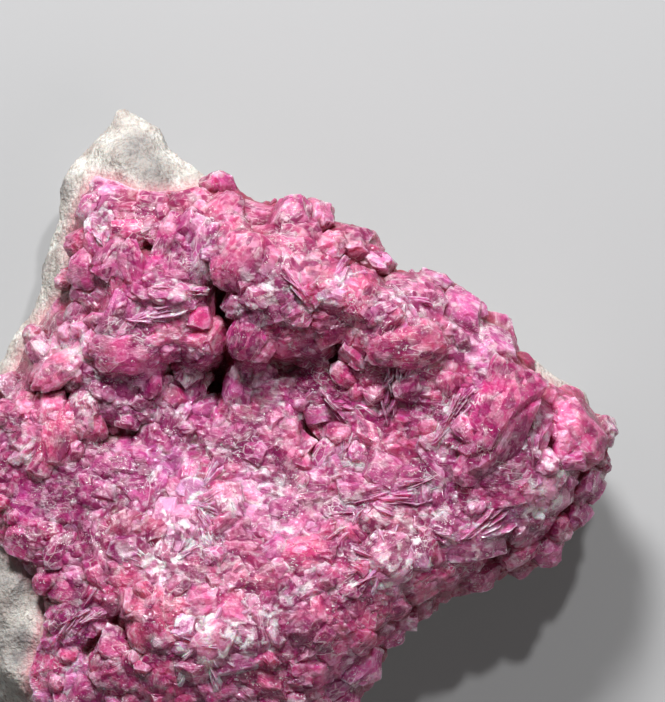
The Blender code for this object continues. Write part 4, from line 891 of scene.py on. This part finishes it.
class Nodes:
    """A material's node tree, filled one node at a time."""

    def __init__(self, name):
        self.material = bpy.data.materials.new(name)
        self.material.use_nodes = True
        self.tree = self.material.node_tree
        self.shader = self.tree.nodes["Principled BSDF"]

    def add(self, kind, settings=None, **inputs):
        """A node with its settings; an input is a value or another node's output."""
        made = self.tree.nodes.new(kind)
        for key, value in (settings or {}).items():
            setattr(made, key, value)
        for key, value in inputs.items():
            self.join(made.inputs[key.replace("_", " ")], value)
        return made

    def join(self, socket, value):
        """The socket linked to an output, or set to a value."""
        if isinstance(value, bpy.types.NodeSocket):
            self.tree.links.new(value, socket)
        else:
            socket.default_value = value

    def maths(self, operation, first, second=0.0, clamp=False):
        """The result of one sum on two values."""
        made = self.tree.nodes.new("ShaderNodeMath")
        made.operation = operation
        made.use_clamp = clamp
        self.join(made.inputs[0], first)
        self.join(made.inputs[1], second)
        return made.outputs[0]

    def spread(self, value, low, high, start=0.0, end=1.0):
        """The value taken from one range to another, kept inside it."""
        made = self.add("ShaderNodeMapRange", {"clamp": True}, Value=value)
        for key, number in (("From Min", low), ("From Max", high), ("To Min", start), ("To Max", end)):
            self.join(made.inputs[key], number)
        return made.outputs["Result"]

    def blend(self, share, first, second, way="MIX"):
        """Two colours mixed by a share."""
        made = self.add("ShaderNodeMix", {"data_type": "RGBA", "blend_type": way})
        self.join(made.inputs[0], share)
        self.join(made.inputs[6], first)
        self.join(made.inputs[7], second)
        return made.outputs[2]

    def attribute(self, name):
        """The node that reads a mesh attribute."""
        return self.add("ShaderNodeAttribute", {"attribute_name": name})

    def scaled(self, vector, scale):
        """A vector with each part scaled."""
        made = self.add("ShaderNodeVectorMath", {"operation": "MULTIPLY"})
        self.join(made.inputs[0], vector)
        made.inputs[1].default_value = scale
        return made.outputs[0]

    def noise(self, vector, scale, detail=3.0, distortion=0.0):
        """Noise of a scale at a vector."""
        made = self.add("ShaderNodeTexNoise", None, Vector=vector, Scale=scale, Detail=detail, Distortion=distortion)
        return made.outputs["Fac"]

    def place(self):
        """The object's own coordinates in millimetres."""
        coordinates = self.tree.nodes.new("ShaderNodeTexCoord").outputs["Object"]
        return self.scaled(coordinates, (1.0 / MM,) * 3)


def calcite_material():
    """Translucent pink calcite: zoned colour, frosted edges and fibres, painted deep crimson shade in grooves and where
    little sky is open, cream bits in some grooves.
    """
    nodes = Nodes("pink_calcite_look")
    tint = nodes.attribute("tint")
    along = nodes.attribute("along").outputs["Vector"]
    edge = nodes.attribute("edge").outputs["Fac"]
    openness = nodes.attribute("openness").outputs["Fac"]
    place = nodes.place()
    frost = tint.outputs["Alpha"]

    facet = nodes.add("ShaderNodeTexVoronoi", {"feature": "F1"}, Vector=nodes.scaled(along, (0.55, 1.3, 1.3)), Scale=1.0)
    facet_shade = nodes.add("ShaderNodeSeparateColor", None, Color=facet.outputs["Color"]).outputs[0]
    zone = nodes.noise(place, 0.24, 6.0, 0.8)
    inner_zone = nodes.noise(along, 0.9, 5.0, 1.2)
    deeper = nodes.spread(nodes.maths("ADD", zone, nodes.maths("MULTIPLY", facet_shade, -0.22)), 0.26, 0.5, 0.0, 0.88)
    rich = nodes.blend(0.75, tint.outputs["Color"], (0.78, 0.34, 0.68, 1.0), "MULTIPLY")
    colour = nodes.blend(deeper, rich, (0.2, 0.003, 0.08, 1.0))
    lighter = nodes.maths("ADD", inner_zone, nodes.maths("MULTIPLY", facet_shade, 0.24))
    colour = nodes.blend(nodes.spread(lighter, 0.62, 0.9, 0.0, 0.6), colour, (0.88, 0.4, 0.62, 1.0))

    stretched = nodes.scaled(along, (0.6, 5.0, 5.0))
    fibre = nodes.noise(stretched, 1.0, 6.0, 0.8)
    fibre_patch = nodes.spread(nodes.noise(place, 0.4, 3.0), 0.46, 0.6)
    fibre_line = nodes.spread(fibre, 0.56, 0.68)
    frost_reach = nodes.maths("ADD", nodes.maths("MULTIPLY", frost, 0.9), 0.12)
    fibre_share = nodes.maths("MULTIPLY", nodes.maths("MULTIPLY", fibre_line, fibre_patch), frost_reach, True)
    colour = nodes.blend(fibre_share, colour, (0.95, 0.78, 0.84, 1.0))

    crack = nodes.add(
        "ShaderNodeTexVoronoi", {"feature": "DISTANCE_TO_EDGE"}, Vector=nodes.scaled(along, (0.55, 1.3, 1.3)), Scale=1.0)
    crack_patch = nodes.spread(nodes.noise(place, 0.33, 4.0, 0.5), 0.54, 0.64, 0.0, 0.5)
    crack_share = nodes.maths("MULTIPLY", nodes.spread(crack.outputs["Distance"], 0.02, 0.07, 1.0, 0.0), crack_patch)
    colour = nodes.blend(crack_share, colour, (0.95, 0.78, 0.83, 1.0))
    edge_share = nodes.spread(edge, 0.1, 0.26, 0.0, 0.6)
    colour = nodes.blend(edge_share, colour, (0.94, 0.66, 0.78, 1.0))
    cloud = nodes.spread(nodes.noise(place, 0.8, 8.0, 0.5), 0.5, 0.64)
    cloud_share = nodes.maths("MULTIPLY", cloud, nodes.maths("ADD", nodes.maths("MULTIPLY", frost, 0.85), 0.06), True)
    colour = nodes.blend(cloud_share, colour, (0.96, 0.84, 0.87, 1.0))

    # Grooves take painted shade, deep crimson, in some places and cream bits in others.
    groove_shade_and_cream_share = nodes.spread(edge, -0.2, -0.05, 0.85, 0.0)
    shade_to_cream = nodes.spread(nodes.noise(place, 0.5, 2.0), 0.5, 0.56)
    groove_shade_and_cream_colour = nodes.blend(shade_to_cream, (0.26, 0.01, 0.07, 1.0), (0.9, 0.72, 0.74, 1.0))
    colour = nodes.blend(groove_shade_and_cream_share, colour, groove_shade_and_cream_colour)
    speck_patch = nodes.spread(nodes.noise(place, 0.35, 3.0), 0.5, 0.64)
    speck = nodes.maths("MULTIPLY", nodes.spread(nodes.noise(place, 4.2, 2.0, 0.6), 0.6, 0.68, 0.0, 0.7), speck_patch)
    colour = nodes.blend(speck, colour, (0.96, 0.86, 0.89, 1.0))
    glint = nodes.spread(nodes.noise(place, 1.9, 3.0, 1.4), 0.69, 0.74, 0.0, 0.9)
    colour = nodes.blend(glint, colour, (0.98, 0.93, 0.95, 1.0))
    # Painted shade: places that see little of the sky are darkened towards deep crimson.
    sunk = nodes.spread(openness, 0.4, 0.82, 0.92, 0.0)
    colour = nodes.blend(sunk, colour, (0.26, 0.025, 0.05, 1.0))
    nodes.join(nodes.shader.inputs["Base Color"], colour)

    dull = nodes.maths("ADD", fibre_share, cloud_share, True)
    rough = nodes.spread(nodes.noise(place, 1.6, 3.0), 0.38, 0.64, 0.03, 0.14)
    rough = nodes.maths("ADD", rough, nodes.maths("MULTIPLY", dull, 0.3), True)
    nodes.join(nodes.shader.inputs["Roughness"], rough)
    nodes.shader.inputs["IOR"].default_value = 1.62
    nodes.shader.inputs["Transmission Weight"].default_value = 0.2
    nodes.shader.inputs["Subsurface Weight"].default_value = 0.7
    nodes.shader.inputs["Subsurface Radius"].default_value = (1.0, 0.25, 0.45)
    nodes.shader.inputs["Subsurface Scale"].default_value = 0.0022

    tilt = nodes.add("ShaderNodeVectorMath", {"operation": "DOT_PRODUCT"})
    nodes.join(tilt.inputs[0], facet.outputs["Color"])
    nodes.join(tilt.inputs[1], along)
    facet_height = nodes.maths("MULTIPLY", tilt.outputs["Value"], 0.5)
    line_height = nodes.maths("MULTIPLY", fibre, nodes.maths("ADD", nodes.maths("MULTIPLY", fibre_patch, 1.0), 0.2))
    grain = nodes.maths("MULTIPLY", nodes.noise(place, 3.4, 6.0), 0.6)
    height = nodes.maths("ADD", nodes.maths("ADD", facet_height, line_height), grain)
    bump = nodes.add("ShaderNodeBump", None, Strength=0.8, Distance=0.0003, Height=height)
    nodes.join(nodes.shader.inputs["Normal"], bump.outputs["Normal"])
    return nodes.material


def rock_material():
    """White to cream carbonate rock with grey stains and a pink blush near the druse."""
    nodes = Nodes("carbonate_rock_look")
    place = nodes.place()
    blush = nodes.attribute("blush").outputs["Fac"]
    stain = nodes.attribute("stain").outputs["Fac"]
    mottled = nodes.noise(place, 0.5, 5.0, 0.5)
    fine = nodes.noise(nodes.scaled(place, (1.0, 0.45, 1.0)), 3.2, 5.0, 0.4)
    colour = nodes.blend(nodes.spread(mottled, 0.4, 0.66), (0.56, 0.545, 0.505, 1.0), (0.33, 0.29, 0.265, 1.0))
    colour = nodes.blend(nodes.spread(fine, 0.46, 0.66, 0.0, 0.75), colour, (0.24, 0.2, 0.18, 1.0))
    stain_share = nodes.maths("MULTIPLY", stain, nodes.spread(mottled, 0.36, 0.6, 1.0, 0.35), True)
    colour = nodes.blend(stain_share, colour, (0.16, 0.143, 0.14, 1.0))
    blush_share = nodes.maths("MULTIPLY", blush, nodes.spread(fine, 0.3, 0.62, 0.35, 0.9), True)
    colour = nodes.blend(blush_share, colour, (0.52, 0.17, 0.22, 1.0))
    nodes.join(nodes.shader.inputs["Base Color"], colour)
    nodes.shader.inputs["Roughness"].default_value = 0.82
    nodes.shader.inputs["Subsurface Weight"].default_value = 0.15
    nodes.shader.inputs["Subsurface Scale"].default_value = 0.0008
    height = nodes.maths("ADD", nodes.noise(place, 2.4, 6.0, 0.3), nodes.maths("MULTIPLY", fine, 0.5))
    bump = nodes.add("ShaderNodeBump", None, Strength=0.8, Distance=0.0004, Height=height)
    nodes.join(nodes.shader.inputs["Normal"], bump.outputs["Normal"])
    return nodes.material


GREY_STAINS = [(13.6, 55.2, 2.4), (14.8, 53.6, 1.9), (15.6, 52.2, 1.6), (6.0, 51.6, 1.2), (4.1, 43.8, 0.9),
               (1.0, 12.4, 3.0), (-1.6, 9.0, 3.4), (1.2, 5.2, 2.8), (-4.0, 12.0, 2.6)]


def mark_rock(piece, shift):
    """How grey and how pink each place of the rock is."""
    points = mesh_points(piece.data)
    stain = np.zeros(len(points))
    for x, y, reach in GREY_STAINS:
        distance = np.hypot(points[:, 0] - x, points[:, 1] - y)
        stain = np.maximum(stain, 1.0 - smooth_step(distance, 0.4 * reach, 1.3 * reach))
    inside = depth_inside(points[:, 0], points[:, 1], CRUST_OUTLINE)
    under_the_face = points[:, 2] - face_level(points[:, 0], points[:, 1])
    blush = smooth_step(inside, -1.6, 0.6) * smooth_step(under_the_face, -5.5, -2.5)
    set_attribute(piece.data, "stain", "FLOAT", "POINT", stain)
    set_attribute(piece.data, "blush", "FLOAT", "POINT", blush)


def finish_piece(piece, shift, material, slot, *nodes):
    """The piece moved into the frame in metres, shaded, coloured and put on the root body, with the CAD nodes it stands
    for hidden.
    """
    piece.data.transform(Matrix.Scale(MM, 4) @ Matrix.Translation((shift[0], shift[1], 0.0)))
    piece.data.materials.clear()
    piece.data.materials.append(material)
    bpy.ops.object.select_all(action="DESELECT")
    bpy.context.view_layer.objects.active = piece
    piece.select_set(True)
    bpy.ops.object.shade_smooth_by_angle(angle=math.radians(26))
    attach(piece, "root")
    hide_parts(*nodes)


def add_light(name, place, target, size, power, colour=(1.0, 1.0, 1.0)):
    """A square soft light that looks at a place."""
    light = bpy.data.lights.new(name, "AREA")
    light.size = size
    light.energy = power
    light.color = colour
    holder = bpy.data.objects.new(name, light)
    holder.location = place
    holder.rotation_euler = (Vector(target) - Vector(place)).to_track_quat("-Z", "Y").to_euler()
    bpy.context.scene.collection.objects.link(holder)


def make_studio():
    """A plain pale floor, soft light from the top of the view, and a camera that looks straight down."""
    bpy.ops.mesh.primitive_plane_add(size=3.0, location=(0.0, 0.0, -0.0002))
    floor = bpy.context.object
    floor.name = "floor"
    ground = Nodes("plain_floor")
    ground.shader.inputs["Base Color"].default_value = (0.34, 0.34, 0.345, 1.0)
    ground.shader.inputs["Roughness"].default_value = 0.9
    floor.data.materials.append(ground.material)
    add_light("key", (-0.1, 0.42, 0.38), (0.0, 0.0, 0.01), 0.12, 5.6)
    add_light("glint", (0.12, 0.34, 0.5), (0.0, 0.0, 0.01), 0.03, 1.7)
    add_light("fill", (0.34, -0.3, 0.4), (0.0, 0.0, 0.01), 0.4, 0.7, (1.0, 0.97, 0.96))
    bpy.context.scene.view_settings.view_transform = "Standard"
    world = bpy.data.worlds.new("studio")
    world.use_nodes = True
    world.node_tree.nodes["Background"].inputs["Color"].default_value = (1.0, 1.0, 1.0, 1.0)
    world.node_tree.nodes["Background"].inputs["Strength"].default_value = 0.08
    bpy.context.scene.world = world
    lens = bpy.data.cameras.new("camera")
    lens.sensor_width = 36.0
    lens.lens = 359.0
    lens.clip_start = 0.01
    camera = bpy.data.objects.new("camera", lens)
    camera.location = (0.00582, 0.00815, 0.72)
    bpy.context.scene.collection.objects.link(camera)
    bpy.context.scene.camera = camera


def build():
    """The whole scene."""
    low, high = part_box("matrix")
    shift = (low[0] / MM + 6.5, high[1] / MM - 59.9)
    draw = random.Random(SEED)
    prototypes = {}
    for form in FORMS:
        for size_class, cells, count in (("large", 20, 2), ("middle", 15, 3), ("small", 9, 3)):
            prototypes[form, size_class] = [make_prototype(form, number, cells, draw) for number in range(count)]
    growths, middles, rotations, colours = grow_all(prototypes, draw)
    regions = [join_region(growth) for growth in growths.values()]
    for kept in prototypes.values():
        for piece in kept:
            spent = piece.data
            bpy.data.objects.remove(piece)
            bpy.data.meshes.remove(spent)
    bed = make_bed(draw)
    rock = make_rock(shift)
    sky = HeightMap([mesh_points(piece.data) for piece in (*regions, bed, rock)])
    for piece in regions:
        mark_crystals(piece, middles, rotations, colours)
    colour_bed(bed, colours)
    mark_rock(rock, shift)
    for piece in (*regions, bed):
        set_attribute(piece.data, "edge", "FLOAT", "POINT", convexity(piece.data))
        set_attribute(piece.data, "openness", "FLOAT", "POINT", sky.openness(mesh_points(piece.data)))
    calcite = calcite_material()
    for piece in (*regions, bed):
        finish_piece(piece, shift, calcite, "pink_calcite", "calcite_crust")
    finish_piece(rock, shift, rock_material(), "carbonate_rock", "matrix")
    make_studio()
    for piece in (*regions, bed, rock):
        triangles = sum(len(face.vertices) - 2 for face in piece.data.polygons)
        print(piece.name, triangles, "triangles")


build()
